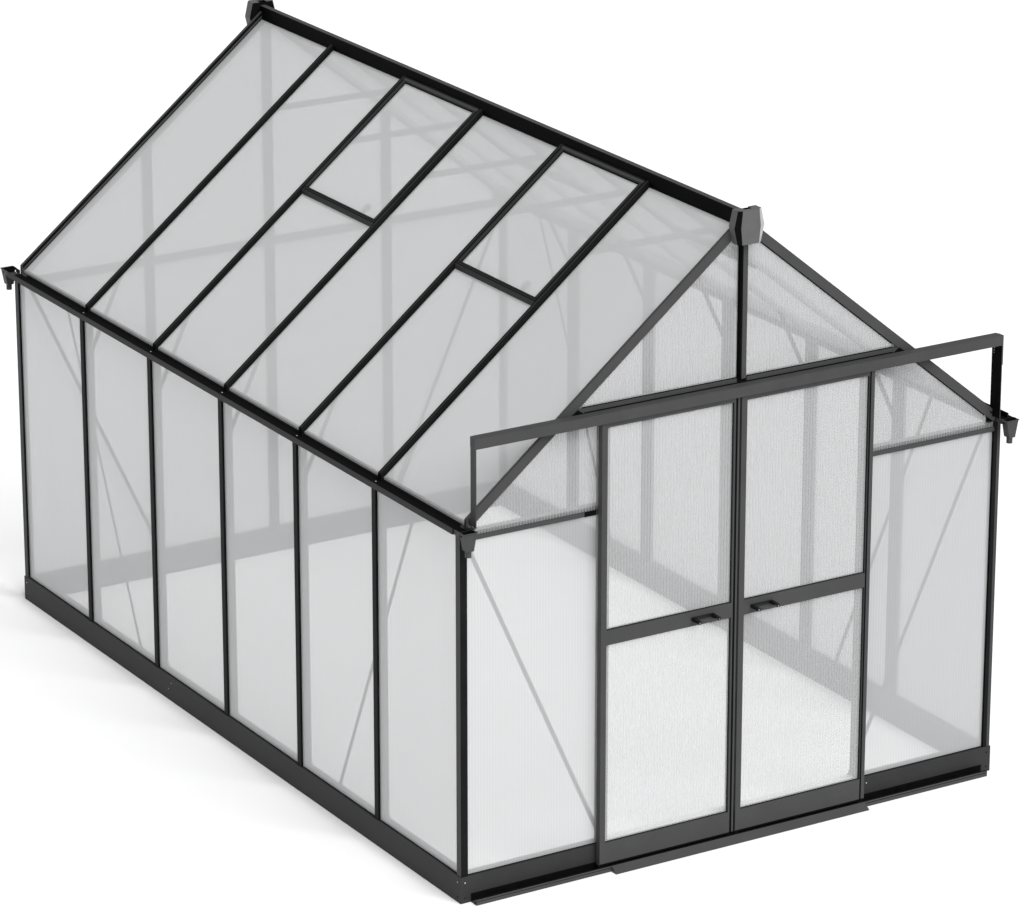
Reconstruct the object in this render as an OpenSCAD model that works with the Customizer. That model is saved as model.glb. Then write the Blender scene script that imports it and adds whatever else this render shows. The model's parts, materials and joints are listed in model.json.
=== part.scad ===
// Walk-in polycarbonate greenhouse with a gable roof and two sliding doors.
// Millimetres. X runs across the gable, Y from the door end to the back, Z up.
// The origin is on the ground, in the middle of the whole greenhouse's box.

/* [Overall] */
// Width of the base frame across the gable
base_w = 2440; // [2300:10:2600]
// Length of the base frame from the door end to the back
base_l = 3710; // [3700:1:3730]
// Distance between the middles of neighbouring posts
bay = 610; // [600:1:612]
// Number of bays along each side
side_bays = 6; // [6:1:6]
// Height of the heads of the wall posts
eave_h = 1468; // [1400:1:1520]
// Slope of the roof in degrees
roof_pitch = 39.1; // [36:0.1:42]

/* [Base] */
// Height of the steel base rails
base_h = 105; // [80:1:120]
// Width of the flanges of the base rails
base_flange = 54; // [54:1:70]
// Thickness of the base rails
base_t = 2; // [1.5:0.1:3]

/* [Wall frame] */
// Distance from the base's outer face back to the posts' outer face
post_inset = 4; // [3:1:6]
// Face width of the wall posts
post_w = 28; // [22:1:32]
// Depth of the wall posts
post_d = 48; // [44:1:48]
// Width of the square corner posts
corner_w = 30; // [24:1:34]
// Height of the eave bars' front faces in the gable walls
eave_bar_h = 16; // [12:1:20]
// Height of the eave bars' upper part, behind the sheets
eave_bar_tongue = 12; // [8:1:16]
// Distance from the post heads down to the top of the gable eave bars
eave_bar_drop = 12; // [8:1:16]
// Face width of the king post over the doors
king_w = 20; // [14:1:22]
// Depth of the king post
king_d = 35; // [30:1:40]
// Distance that the king post stands out in front of the rafters
king_out = 12; // [6:1:14]

/* [Gutters] */
// Distance from the side posts' outer face in to the ends of the roof bars
eave_back = 28; // [24:1:32]
// Distance from the ends of the roof bars in to the gutter's inner wall
gutter_in = 12; // [10:1:16]
// Width of the gutter trough with its two walls
gutter_w = 74; // [70:1:80]
// Height of the gutter's outer lip
gutter_h = 23; // [20:1:30]
// Sheet thickness of the gutters
gutter_t = 2; // [1.5:0.1:3]
// Width of the gutter's flange on the wall posts
eave_flange = 26; // [20:1:30]
// Width of the rain outlets across the gutter
outlet_w = 56; // [50:1:60]
// Length of the rain outlets' hoppers along the gutter
outlet_l = 34; // [30:1:44]
// Distance from the base's outer face to the middle of each outlet
outlet_out = 55; // [50:1:70]
// Distance of the hoppers' rims below the gutter's lip
outlet_low = 4; // [2:1:8]
// Depth of the hoppers below their rims
outlet_drop = 70; // [60:1:80]
// Outer radius of the outlet spouts
spout_r = 12; // [10:0.5:13]
// Length of the outlet spouts
spout_l = 25; // [20:1:40]
// Wall thickness of the outlets and the spouts
outlet_t = 2; // [1.5:0.1:3]

/* [Roof frame] */
// Height of the roof bars' heels above the gutter flange
heel_h = 40; // [36:1:46]
// Width of the roof bars
bar_w = 27; // [20:1:32]
// Depth of the roof bars, square to the slope
bar_d = 21; // [21:1:28]
// Depth of the roof bars' top below the rafters' top
bar_set = 9; // [6:1:10]
// Width of the gable rafters along the greenhouse
rafter_w = 46; // [40:1:48]
// Width of the gable rafters' top, in front of the rebate for the sheet
rafter_top = 15; // [12:1:24]
// Depth of the gable rafters, square to the slope
rafter_d = 37; // [34:1:42]
// Half width of the ridge beam
ridge_half = 12; // [12:1:14]
// Height of the ridge beam's crown above the slopes' meeting line
ridge_rise = 15; // [8:1:20]
// Height of the collar ties
collar_h = 24; // [18:1:30]
// Width of the collar ties along the greenhouse
collar_w = 14; // [10:1:20]
// Height of the collar ties' top edge under the ridge line
collar_drop = 247; // [220:1:300]
// Thickness of the flat braces
brace_t = 3; // [2:0.5:5]
// Width of the flat braces
brace_w = 18; // [12:1:24]
// Distance from the post heads down to the knee braces' feet
knee_drop = 183; // [160:1:220]
// Sideways run of each knee brace
knee_run = 140; // [120:1:160]
// Rise of each knee brace over that run
knee_rise = 297; // [270:1:320]
// Distance from the corner to the top of each side wall brace
side_brace_top = 386; // [300:1:450]
// Distance from the corner to the foot of each side wall brace
side_brace_foot = 1005; // [900:1:1100]

/* [Ridge caps] */
// Overall width of the ridge caps
cap_w = 132; // [120:1:144]
// Overall height of the ridge caps
cap_h = 130; // [120:1:140]
// Width of the ridge caps' top and bottom edges
cap_edge_w = 102; // [90:1:110]
// Width of the ridge caps' front face at its middle
cap_face_w = 86; // [76:1:96]
// Width of the front face's top and bottom edges
cap_face_edge = 73; // [60:1:80]
// Depth of the ridge caps in front of the rafters
cap_d = 48; // [40:1:56]
// Depth of the bevel round the front face
cap_bevel = 11; // [6:1:16]
// Height of the ridge caps' top above the slopes' meeting line
cap_rise = 32; // [26:1:38]
// Width of the notch in the top of the ridge caps
cap_notch_w = 35; // [28:1:40]
// Length of the notch in the top of the ridge caps
cap_notch_l = 29; // [20:1:32]
// Wall thickness of the ridge caps
cap_t = 3; // [2:0.5:4]

/* [Panels] */
// Thickness of the twin-wall sheets
panel_t = 6; // [4:0.5:8]
// Depth of the roof sheets below the roof bars' top
panel_set = 15; // [8:1:15]
// Depth of the wall sheets behind the posts' outer face
wall_set = 8; // [6:1:14]

/* [Roof vents] */
// Distance from the ridge line to the lower edge of the vents
vent_foot = 507; // [460:1:540]
// Width of the vent frames' members
vent_bar = 18; // [14:1:24]
// Height of the vent frames above the roof bars
vent_proud = 1; // [0:1:4]
// Depth of the vent frames
vent_d = 16; // [12:1:20]
// Height of the vents' sheets above the underside of their frames
vent_sheet_up = 2; // [1:1:3]
// Width of the roof's crossbars under the vents' lower edges, measured level
cross_w = 16; // [12:1:22]
// Distance that the vents' lower edges lap over the sheets below them
vent_lap = 4; // [2:1:6]
// Radius of the vent knobs
knob_r = 19; // [14:1:22]
// Thickness of the vent knobs
knob_h = 12; // [8:1:16]
// Distance from the vents' lower edge up to the middle of their knobs, measured level
knob_in = 61; // [50:1:80]
// Width of the arms that carry the vent knobs
knob_arm = 20; // [12:1:26]
// Distance from the roof bar to the middle of each vent knob
knob_side = 143; // [120:1:180]

/* [Doors] */
// Width of the doorway between the jambs
door_way = 1150; // [1130:1:1160]
// Width of each door
door_w = 604; // [600:1:610]
// Gap between the two closed doors
door_gap = 9.5; // [6:0.5:12]
// Distance that the closed doors stand left of the middle
door_shift = 23; // [18:1:26]
// Thickness of the door leaves
door_t = 25; // [22:1:26]
// Gap between the door leaves and the base's outer face
door_off = 8; // [8:0.5:10]
// Height of the door stiles' feet above the ground
door_z = 28; // [28:1:34]
// Height of the doors' tops above the top track's lower edge
door_head = 18; // [8:1:24]
// Face width of the door stiles
stile_w = 24; // [24:1:30]
// Height of the doors' bottom rails
bottom_rail_h = 90; // [80:1:100]
// Height of the doors' middle rails
mid_rail_h = 58; // [50:1:66]
// Height of the middle rails' lower edge
mid_rail_z = 917; // [880:1:960]
// Height of the doors' top rails
top_rail_h = 37; // [32:1:42]
// Distance of the left handle's middle from its door's meeting edge
left_handle_x = 154; // [130:1:170]
// Distance of the right handle's middle from its door's meeting edge
right_handle_x = 103; // [90:1:120]
// Length of the handles
handle_w = 100; // [80:1:110]
// Distance that the handles stand out from the doors
handle_out = 51; // [45:1:55]
// Height of the handles' bars
handle_h = 16; // [12:1:20]
// Width of the handles' legs and thickness of their grips
handle_leg = 10; // [8:1:14]
// Thickness of the handles' back plates
handle_back = 3; // [2:0.5:5]
// Radius of the door wheels
wheel_r = 10; // [8:0.5:11]
// Width of the door wheels
wheel_w = 8; // [6:0.5:10]
// Radius of the door wheels' axles
axle_r = 3; // [2:0.5:4]

/* [Door tracks] */
// Distance from the base's side face in to the ends of the top track
track_end = 46; // [40:1:52]
// Height of the top track's lower edge
track_z = 1790; // [1775:1:1792]
// Height of the top track
track_h = 40; // [36:1:46]
// Distance from the doors' front face to the top track's front face
track_front = 10; // [8:0.5:11]
// Sheet thickness of the top track and its end brackets
track_t = 3; // [2:0.5:3]
// Height of the lintel bar behind the top track
lintel_h = 48; // [42:1:56]
// Height of the lintel's lower edge above the top track's
lintel_up = 10; // [6:1:20]
// Depth of the lintel bar
lintel_d = 35; // [30:1:44]
// Distance that the lintel stands out in front of the posts
lintel_out = 4; // [2:1:4]
// Depth of the end brackets' plates
bracket_w = 36; // [30:1:42]
// Height of the end brackets' feet above the gutter flange
bracket_rise = 20; // [10:1:30]
// Distance from the base's side face in to the ends of the bottom track
sill_end = 44; // [38:1:50]
// Width of the bottom track in front of the base
sill_w = 42; // [41:1:46]
// Height of the bottom track's front lip
sill_h = 22; // [18:1:23]
// Thickness of the bottom track's sheet
sill_t = 2; // [1.5:0.5:3]
// Half length of the threshold ramp
ramp_half = 583; // [560:1:600]
// Width of the threshold ramp in front of the bottom track
ramp_w = 33; // [28:1:38]

/* [Hidden] */
$fn = 48;

EPS = 1;               // how far a cutter runs past the face that it opens
FRAME = "#3a3a3c";
PLASTIC = "#1c1c1d";
SHEET = [0.85, 0.87, 0.88, 0.6];

half_w = base_w / 2;
outlet_reach = outlet_out + outlet_l / 2;
door_front = door_off + door_t;          // from the base's outer face to the doors' front face
handle_reach = door_front + handle_out;
front_y = -(base_l + outlet_reach - handle_reach) / 2;
back_y = front_y + base_l;
corner_rest = (base_l - side_bays * bay) / 2;   // from the base's outer face to the first grid line
wall_x = half_w - post_inset;            // outer face of the side posts
eave_x = wall_x - eave_back;             // vertical cut at the roof bars' heels
flange_z = eave_h + gutter_t;            // top of the gutter flange
apex_z = flange_z + heel_h + eave_x * tan(roof_pitch);
eave_bar_top = eave_h - eave_bar_drop;
eave_face_top = eave_bar_top - eave_bar_tongue;
eave_bar_z = eave_face_top - eave_bar_h;
gutter_x = eave_x - gutter_in;           // inner face of the gutter's inner wall
bar_low = bar_set + bar_d;               // depth of the roof bars' underside below the rafters' top
sheet_top = bar_set + panel_set;         // depth of the roof sheets' top and of their underside
sheet_low = sheet_top + panel_t;
ridge_z = roof_z(ridge_half, max(rafter_d, bar_low));   // underside of the ridge beam
vent_top = bar_set - vent_proud;         // depth of the vent frames' top and of their underside
vent_low = vent_top + vent_d;
cross_x = vent_foot - vent_lap;          // lower side of the crossbars, where the sheets begin
cap_z = apex_z + cap_rise - cap_h;       // underside of the ridge caps
gable_y = front_y + post_inset;          // front face of the posts and rafters of the door end
knee_z = eave_h - knee_drop;
track_half = half_w - track_end;
sill_half = half_w - sill_end;
bracket_z = flange_z + bracket_rise;
lintel_z = track_z + lintel_up;
lintel_top = lintel_z + lintel_h;
door_top = track_z + door_head;
jamb_x = door_way / 2;                   // inner edge of the jambs
vent_bays = [1, 3];                      // bays with a vent, counted from the door end
outlet_z = eave_h + gutter_h - outlet_low;      // rim of the hoppers
spout_z = outlet_z - outlet_drop;
wheel_run = 0.3;                         // running gap under the door wheels
axle_run = 0.05;                         // radial running gap round the axles
fork_t = 2;                              // thickness of the wheel forks
fork_w = 24;                             // length of the wheel forks
fork_low = 5;                            // depth of the forks below the axles
side_run = 0.5;                          // gap between a wheel and its fork
SLICE = 0.1;                             // thickness of the slices that a ridge cap is drawn round
wall_gap = 0.2;                          // gap between the gutters' inner walls and the sheets

// Height of the roof's top plane at a distance x from the middle, lowered square to the slope.
function roof_z(x, down = 0) = apex_z - abs(x) * tan(roof_pitch) - down / cos(roof_pitch);
// Distance from the middle at which the lowered roof plane reaches a height.
function roof_x(z, down = 0) = (apex_z - down / cos(roof_pitch) - z) / tan(roof_pitch);
// Y of a grid line of the side walls.
function grid_y(i) = front_y + corner_rest + i * bay;
// Ends of the clear stretch of a side bay, between two members of width w.
function bay_start(i, w, first) = i == 0 ? front_y + first : grid_y(i) + w / 2;
function bay_end(i, w, first) = i == side_bays - 1 ? back_y - first : grid_y(i + 1) - w / 2;

// Draws its children on the right and mirrored on the left.
module both_sides() { children(); mirror([1, 0, 0]) children(); }
// Draws its children on one side of the greenhouse: 1 is the right and -1 the left.
module on_side(side) { mirror([side < 0 ? 1 : 0, 0, 0]) children(); }
// A box from its lowest to its highest corner.
module block(lo, hi) { translate(lo) cube(hi - lo); }
// A plate with an outline in the XZ plane between two depths.
module plate_y(y1, y2, outline) {
    translate([0, y2, 0]) rotate([90, 0, 0]) linear_extrude(y2 - y1) polygon(outline);
}
// A plate with an outline in the YZ plane between two widths.
module plate_x(x1, x2, outline) {
    translate([x1, 0, 0]) rotate([90, 0, 90]) linear_extrude(x2 - x1) polygon(outline);
}
// A strip of the right-hand roof slope with vertical end cuts.
module slope_strip(x1, x2, d1, d2, y1, y2) {
    plate_y(y1, y2, [[x1, roof_z(x1, d1)], [x2, roof_z(x2, d1)],
                     [x2, roof_z(x2, d2)], [x1, roof_z(x1, d2)]]);
}
// A bar of the right-hand slope between two depths. Its heel stands in the gutter from heel_x outward.
module slope_bar(d1, d2, heel_x, y1, y2) {
    plate_y(y1, y2, [[ridge_half, roof_z(ridge_half, d1)], [eave_x, roof_z(eave_x, d1)], [eave_x, flange_z],
                     [heel_x, flange_z], [heel_x, roof_z(heel_x, d2)], [ridge_half, roof_z(ridge_half, d2)]]);
}
// Turns what is drawn for the door end round to the back.
module at_back() { translate([0, front_y + back_y, 0]) mirror([0, 1, 0]) children(); }

// ---- base ----
module base_end() {
    block([-half_w, front_y, 0], [half_w, front_y + base_t, base_h]);
    for (z = [0, base_h - base_t])
        block([-half_w + base_t, front_y + base_t, z], [half_w - base_t, front_y + base_flange, z + base_t]);
}
module base_side() {
    block([half_w - base_t, front_y + base_t, 0], [half_w, back_y - base_t, base_h]);
    for (z = [0, base_h - base_t])
        block([half_w - base_flange, front_y + base_flange, z],
              [half_w - base_t, back_y - base_flange, z + base_t]);
}
module base_front() { color(FRAME) base_end(); }
module base_back() { color(FRAME) at_back() base_end(); }
module base_left() { color(FRAME) on_side(-1) base_side(); }
module base_right() { color(FRAME) on_side(1) base_side(); }

// ---- wall frame ----
module corner_post() {
    block([wall_x - corner_w, gable_y, base_h], [wall_x, gable_y + corner_w, eave_h]);
}
module corner_posts() {
    color(FRAME) both_sides() { corner_post(); at_back() corner_post(); }
}
module side_posts() {
    for (i = [1 : side_bays - 1])
        block([wall_x - post_d, grid_y(i) - post_w / 2, base_h], [wall_x, grid_y(i) + post_w / 2, eave_h]);
}
module left_posts() { color(FRAME) on_side(-1) side_posts(); }
module right_posts() { color(FRAME) on_side(1) side_posts(); }
module back_posts() {
    y2 = back_y - post_inset;
    color(FRAME) {
        both_sides()
            plate_y(y2 - post_d, y2, [[jamb_x, base_h], [jamb_x + post_w, base_h],
                                      [jamb_x + post_w, roof_z(jamb_x + post_w, rafter_d)],
                                      [jamb_x, roof_z(jamb_x, rafter_d)]]);
        plate_y(y2 - post_d, y2, [[post_w / 2, base_h], [post_w / 2, roof_z(post_w / 2, rafter_d)],
                                  [ridge_half, ridge_z], [-ridge_half, ridge_z],
                                  [-post_w / 2, roof_z(post_w / 2, rafter_d)], [-post_w / 2, base_h]]);
    }
}
module door_jambs() {
    color(FRAME) both_sides()
        block([jamb_x, gable_y, base_h], [jamb_x + post_w, gable_y + post_d, lintel_z]);
}
// An eave bar between two distances from the middle.
module eave_bar(x1, x2) {
    block([x1, gable_y, eave_bar_z], [x2, gable_y + post_d, eave_face_top]);
    block([x1, gable_y + wall_set + panel_t, eave_face_top], [x2, gable_y + post_d, eave_bar_top]);
}
module front_eave_bars() {
    color(FRAME) both_sides() eave_bar(jamb_x + post_w, wall_x - corner_w);
}
module back_eave_bars() {
    color(FRAME) both_sides() at_back() {
        eave_bar(jamb_x + post_w, wall_x - corner_w);
        eave_bar(post_w / 2, jamb_x);
    }
}
module king_post() {
    y1 = gable_y - king_out;
    color(FRAME) plate_x(-king_w / 2, king_w / 2,
        [[y1, lintel_top], [y1 + king_d, lintel_top], [y1 + king_d, ridge_z], [gable_y, ridge_z],
         [gable_y, cap_z], [y1, cap_z]]);
}
// A flat brace in a gable wall, from the corner's head to the next post's foot.
module gable_brace() {
    y1 = gable_y + post_d;
    plate_y(y1, y1 + brace_t, [[jamb_x - brace_w / 2, base_h], [jamb_x + brace_w / 2, base_h],
                               [wall_x - corner_w + brace_w / 2, eave_bar_top],
                               [wall_x - corner_w - brace_w / 2, eave_bar_top]]);
}
// A flat brace on the inside of a side wall, from the eave down to the base.
module side_brace() {
    x2 = wall_x - post_d;
    plate_x(x2 - brace_t, x2, [[front_y + side_brace_foot - brace_w / 2, base_h],
                               [front_y + side_brace_foot + brace_w / 2, base_h],
                               [front_y + side_brace_top + brace_w / 2, eave_h],
                               [front_y + side_brace_top - brace_w / 2, eave_h]]);
}
module wall_braces() {
    color(FRAME) both_sides() {
        gable_brace();
        side_brace();
        at_back() { gable_brace(); side_brace(); }
    }
}

// ---- gutters ----
module gutter() {
    lip_x = gutter_x + gutter_w;
    plate_y(front_y, back_y, [[gutter_x - eave_flange, eave_h], [lip_x, eave_h], [lip_x, eave_h + gutter_h],
                              [lip_x - gutter_t, eave_h + gutter_h], [lip_x - gutter_t, flange_z],
                              [gutter_x - eave_flange, flange_z]]);
    block([gutter_x, gable_y + rafter_w, eave_h],
          [gutter_x + gutter_t, front_y + back_y - gable_y - rafter_w, roof_z(gutter_x + gutter_t, sheet_low) - wall_gap]);
}
module left_gutter() { color(FRAME) on_side(-1) gutter(); }
module right_gutter() { color(FRAME) on_side(1) gutter(); }
// A hopper with a round spout at one end of a gutter, joined to it by an open neck.
module outlet() {
    mid = eave_x + outlet_w / 2;
    y_mid = front_y - outlet_out;
    foot = spout_r + outlet_t;
    difference() {
        union() {
            plate_y(y_mid - outlet_l / 2, y_mid + outlet_l / 2,
                    [[mid - outlet_w / 2, outlet_z], [mid + outlet_w / 2, outlet_z],
                     [mid + foot, spout_z], [mid - foot, spout_z]]);
            translate([mid, y_mid, spout_z - spout_l]) cylinder(r = spout_r, h = spout_l);
            block([mid - outlet_w / 2, y_mid + outlet_l / 2, eave_h], [mid + outlet_w / 2, front_y, outlet_z]);
        }
        plate_y(y_mid - outlet_l / 2 + outlet_t, y_mid + outlet_l / 2 - outlet_t,
                [[mid - outlet_w / 2 + outlet_t, outlet_z + EPS], [mid + outlet_w / 2 - outlet_t, outlet_z + EPS],
                 [mid + foot - outlet_t, spout_z + outlet_t], [mid - foot + outlet_t, spout_z + outlet_t]]);
        translate([mid, y_mid, spout_z - spout_l - EPS])
            cylinder(r = spout_r - outlet_t, h = spout_l + outlet_t + 2 * EPS);
        block([mid - outlet_w / 2 + outlet_t, y_mid, eave_h + outlet_t],
              [mid + outlet_w / 2 - outlet_t, front_y + EPS, outlet_z + EPS]);
    }
}
module gutter_outlets() {
    color(PLASTIC) both_sides() { outlet(); at_back() outlet(); }
}

// ---- roof frame ----
module gable_rafter() {
    heel_x = roof_x(flange_z, rafter_d);
    slope_bar(0, rafter_d, heel_x, gable_y, gable_y + rafter_top);
    slope_bar(sheet_low, rafter_d, heel_x, gable_y + rafter_top, gable_y + rafter_w);
}
module front_rafters() { color(FRAME) both_sides() gable_rafter(); }
module back_rafters() { color(FRAME) both_sides() at_back() gable_rafter(); }
module ridge_beam() {
    color(FRAME) block([-ridge_half, gable_y, ridge_z], [ridge_half, back_y - post_inset, apex_z + ridge_rise]);
}
// A thin slice of a ridge cap, from its widths at the edges and at the middle, less a wall thickness.
module cap_slice(y, edge_w, mid_w, in) {
    mid_z = apex_z + cap_rise - cap_h / 2;
    edge = edge_w / 2 - in;
    mid = mid_w / 2 - in;
    rise = cap_h / 2 - in;
    plate_y(y, y + SLICE, [[-edge, mid_z - rise], [edge, mid_z - rise], [mid, mid_z],
                           [edge, mid_z + rise], [-edge, mid_z + rise], [-mid, mid_z]]);
}
// The six-sided barrel of a ridge cap with its bevelled front, less a wall thickness.
module cap_barrel(y2, in) {
    y1 = gable_y - cap_d + in;
    hull() {
        cap_slice(y1, cap_face_edge, cap_face_w, in);
        cap_slice(y1 + cap_bevel, cap_edge_w, cap_w, in);
        cap_slice(y2 - SLICE, cap_edge_w, cap_w, in);
    }
}
module ridge_cap() {
    top = apex_z + cap_rise;
    difference() {
        cap_barrel(gable_y, 0);
        cap_barrel(gable_y + EPS, cap_t);
        block([-cap_notch_w / 2, gable_y - cap_notch_l, top - cap_t - EPS],
              [cap_notch_w / 2, gable_y + EPS, top + EPS]);
    }
}
module ridge_caps() { color(PLASTIC) { ridge_cap(); at_back() ridge_cap(); } }
module roof_bars() {
    for (i = [1 : side_bays - 1])
        slope_bar(bar_set, bar_low, gutter_x + gutter_t, grid_y(i) - bar_w / 2, grid_y(i) + bar_w / 2);
}
module left_roof_bars() { color(FRAME) on_side(-1) roof_bars(); }
module right_roof_bars() { color(FRAME) on_side(1) roof_bars(); }
module collar_ties() {
    top = apex_z - collar_drop;
    low = top - collar_h;
    color(FRAME)
        for (i = [1 : side_bays - 1])
            plate_y(grid_y(i) - collar_w / 2, grid_y(i) + collar_w / 2,
                    [[-roof_x(low, bar_low), low], [roof_x(low, bar_low), low],
                     [roof_x(top, bar_low), top], [-roof_x(top, bar_low), top]]);
}
// Share of a knee brace's rise at which its edge from height z0 meets the roof bar.
function knee_reach(z0) =
    (roof_z(wall_x - post_d, bar_low) - z0) / (knee_rise - knee_run * tan(roof_pitch));
function knee_end(z0) =
    [wall_x - post_d - knee_run * knee_reach(z0), z0 + knee_rise * knee_reach(z0)];
module knee_braces() {
    foot = brace_w * norm([knee_run, knee_rise]) / knee_run;
    inner = wall_x - post_d;
    color(FRAME)
        for (i = [1 : side_bays - 1])
            both_sides()
                plate_y(grid_y(i) - brace_t / 2, grid_y(i) + brace_t / 2,
                        [[inner, knee_z], [inner, knee_z + foot],
                         knee_end(knee_z + foot), knee_end(knee_z)]);
}

// ---- roof vents ----
module vent_spans(side) {
    for (i = vent_bays)
        on_side(side) let ($y1 = bay_start(i, bar_w, 0), $y2 = bay_end(i, bar_w, 0)) children();
}
module all_vents() { vent_spans(1) children(); vent_spans(-1) children(); }
module vent_crossbars() {
    color(FRAME) all_vents() slope_strip(cross_x - cross_w, cross_x, vent_low, rafter_d, $y1, $y2);
}
vent_edge = vent_bar * cos(roof_pitch);      // level width of the frames' upper and lower members
module vent_frames() {
    color(FRAME) all_vents() difference() {
        slope_strip(ridge_half, vent_foot, vent_top, vent_low, $y1, $y2);
        slope_strip(ridge_half + vent_edge, vent_foot - vent_edge, vent_top - EPS, vent_low + EPS,
                    $y1 + vent_bar, $y2 - vent_bar);
    }
}
module vent_panels() {
    color(SHEET) all_vents()
        slope_strip(ridge_half + vent_edge, vent_foot - vent_edge, vent_low - panel_t - vent_sheet_up,
                    vent_low - vent_sheet_up, $y1 + vent_bar, $y2 - vent_bar);
}
// The round knobs under the vents, each on an arm from the crossbar.
module vent_knobs() {
    knob_x = vent_foot - knob_in;
    chamfer = knob_h / 3;
    color(PLASTIC) all_vents() {
        slope_strip(knob_x, cross_x - cross_w, vent_low, vent_low + knob_h / 2,
                    $y1 + knob_side - knob_arm / 2, $y1 + knob_side + knob_arm / 2);
        translate([knob_x, $y1 + knob_side, roof_z(knob_x, vent_low + knob_h)])
            rotate([0, roof_pitch, 0]) rotate_extrude()
                polygon([[0, 0], [knob_r - chamfer, 0], [knob_r, chamfer], [knob_r, knob_h], [0, knob_h]]);
    }
}

// ---- sheets ----
module roof_panels() {
    for (i = [0 : side_bays - 1]) {
        vented = len(search(i, vent_bays)) > 0;
        first = post_inset + rafter_top;
        slope_strip(vented ? cross_x : ridge_half, gutter_x + gutter_t,
                    sheet_top, sheet_low, bay_start(i, bar_w, first), bay_end(i, bar_w, first));
    }
}
module left_roof_panels() { color(SHEET) on_side(-1) roof_panels(); }
module right_roof_panels() { color(SHEET) on_side(1) roof_panels(); }
module wall_panels() {
    x2 = wall_x - wall_set;
    first = post_inset + corner_w;
    for (i = [0 : side_bays - 1])
        block([x2 - panel_t, bay_start(i, post_w, first), base_h], [x2, bay_end(i, post_w, first), eave_h]);
}
module left_wall_panels() { color(SHEET) on_side(-1) wall_panels(); }
module right_wall_panels() { color(SHEET) on_side(1) wall_panels(); }
// A sheet of a gable wall with an outline in the XZ plane.
module gable_sheet(outline) {
    plate_y(gable_y + wall_set, gable_y + wall_set + panel_t, outline);
}
module lower_sheet(x1, x2) {
    gable_sheet([[x1, base_h], [x2, base_h], [x2, eave_bar_z], [x1, eave_bar_z]]);
}
module front_panels() {
    x1 = jamb_x + post_w;
    x2 = gutter_x - eave_flange;
    x3 = wall_x - corner_w;
    color(SHEET) both_sides() {
        lower_sheet(x1, x3);
        gable_sheet([[x1, eave_face_top], [x3, eave_face_top], [x3, eave_h], [x2, eave_h],
                     [x2, roof_z(x2, rafter_d)], [roof_x(lintel_z, rafter_d), lintel_z], [x1, lintel_z]]);
        gable_sheet([[king_w / 2, lintel_top], [roof_x(lintel_top, rafter_d), lintel_top],
                     [ridge_half, ridge_z], [king_w / 2, ridge_z]]);
    }
}
module back_panels() {
    x1 = jamb_x + post_w;
    x2 = gutter_x - eave_flange;
    x3 = wall_x - corner_w;
    color(SHEET) both_sides() at_back() {
        lower_sheet(x1, x3);
        lower_sheet(post_w / 2, jamb_x);
        gable_sheet([[x1, eave_face_top], [x3, eave_face_top], [x3, eave_h], [x2, eave_h],
                     [x2, roof_z(x2, rafter_d)], [x1, roof_z(x1, rafter_d)]]);
        gable_sheet([[post_w / 2, eave_face_top], [jamb_x, eave_face_top], [jamb_x, roof_z(jamb_x, rafter_d)],
                     [post_w / 2, roof_z(post_w / 2, rafter_d)]]);
    }
}

// ---- door tracks ----
track_y = front_y - door_front - track_front;   // front face of the top track
lintel_y = gable_y - lintel_out;                // front face of the lintel
module door_lintel() {
    color(FRAME)
        plate_y(lintel_y, lintel_y + lintel_d,
                [[-roof_x(lintel_z, rafter_d), lintel_z], [roof_x(lintel_z, rafter_d), lintel_z],
                 [roof_x(lintel_top, rafter_d), lintel_top], [-roof_x(lintel_top, rafter_d), lintel_top]]);
}
module door_top_track() {
    color(FRAME) difference() {
        block([-track_half, track_y, track_z], [track_half, lintel_y, track_z + track_h]);
        block([-track_half - EPS, track_y + track_t, track_z - EPS],
              [track_half + EPS, lintel_y - track_t, track_z + track_h - track_t]);
    }
}
module track_brackets() {
    tab = 28;
    tab_drop = 78;
    foot_h = 28;
    color(FRAME) both_sides() {
        block([track_half, track_y, bracket_z], [track_half + track_t, track_y + bracket_w, track_z + track_h]);
        block([track_half, track_y + bracket_w, bracket_z], [track_half + track_t, gable_y, bracket_z + foot_h]);
        block([track_half + track_t, track_y, track_z - tab_drop],
              [track_half + 2 * track_t, track_y + tab, track_z + track_h]);
    }
}
module door_bottom_track() {
    y1 = front_y - sill_w;
    lip_t = 3;
    turn = 10;
    color(FRAME) plate_x(-sill_half, sill_half,
        [[y1, 0], [front_y, 0], [front_y, sill_t], [y1 + lip_t, sill_t], [y1 + lip_t, sill_h - lip_t],
         [y1 + turn, sill_h - lip_t], [y1 + turn, sill_h], [y1, sill_h]]);
}
module threshold_ramp() {
    y2 = front_y - sill_w;
    nose = 2;
    color(FRAME) plate_x(-ramp_half, ramp_half, [[y2 - ramp_w, 0], [y2, 0], [y2, sill_h], [y2 - ramp_w, nose]]);
}

// ---- doors ----
door_y1 = front_y - door_front;
door_y2 = front_y - door_off;
door_inner = door_gap / 2;
door_outer = door_inner + door_w;
// Draws its children on one side of the closed doors' meeting line.
module door_side(side) { translate([-door_shift, 0, 0]) on_side(side) children(); }
module door_frame() {
    x1 = door_inner + stile_w;
    x2 = door_outer - stile_w;
    difference() {
        block([door_inner, door_y1, door_z], [door_outer, door_y2, door_top]);
        block([x1, door_y1 - EPS, door_z + bottom_rail_h], [x2, door_y2 + EPS, mid_rail_z]);
        block([x1, door_y1 - EPS, mid_rail_z + mid_rail_h], [x2, door_y2 + EPS, door_top - top_rail_h]);
    }
}
module door_sheets() {
    x1 = door_inner + stile_w;
    x2 = door_outer - stile_w;
    y1 = (door_y1 + door_y2 - panel_t) / 2;
    block([x1, y1, door_z + bottom_rail_h], [x2, y1 + panel_t, mid_rail_z]);
    block([x1, y1, mid_rail_z + mid_rail_h], [x2, y1 + panel_t, door_top - top_rail_h]);
}
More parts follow.
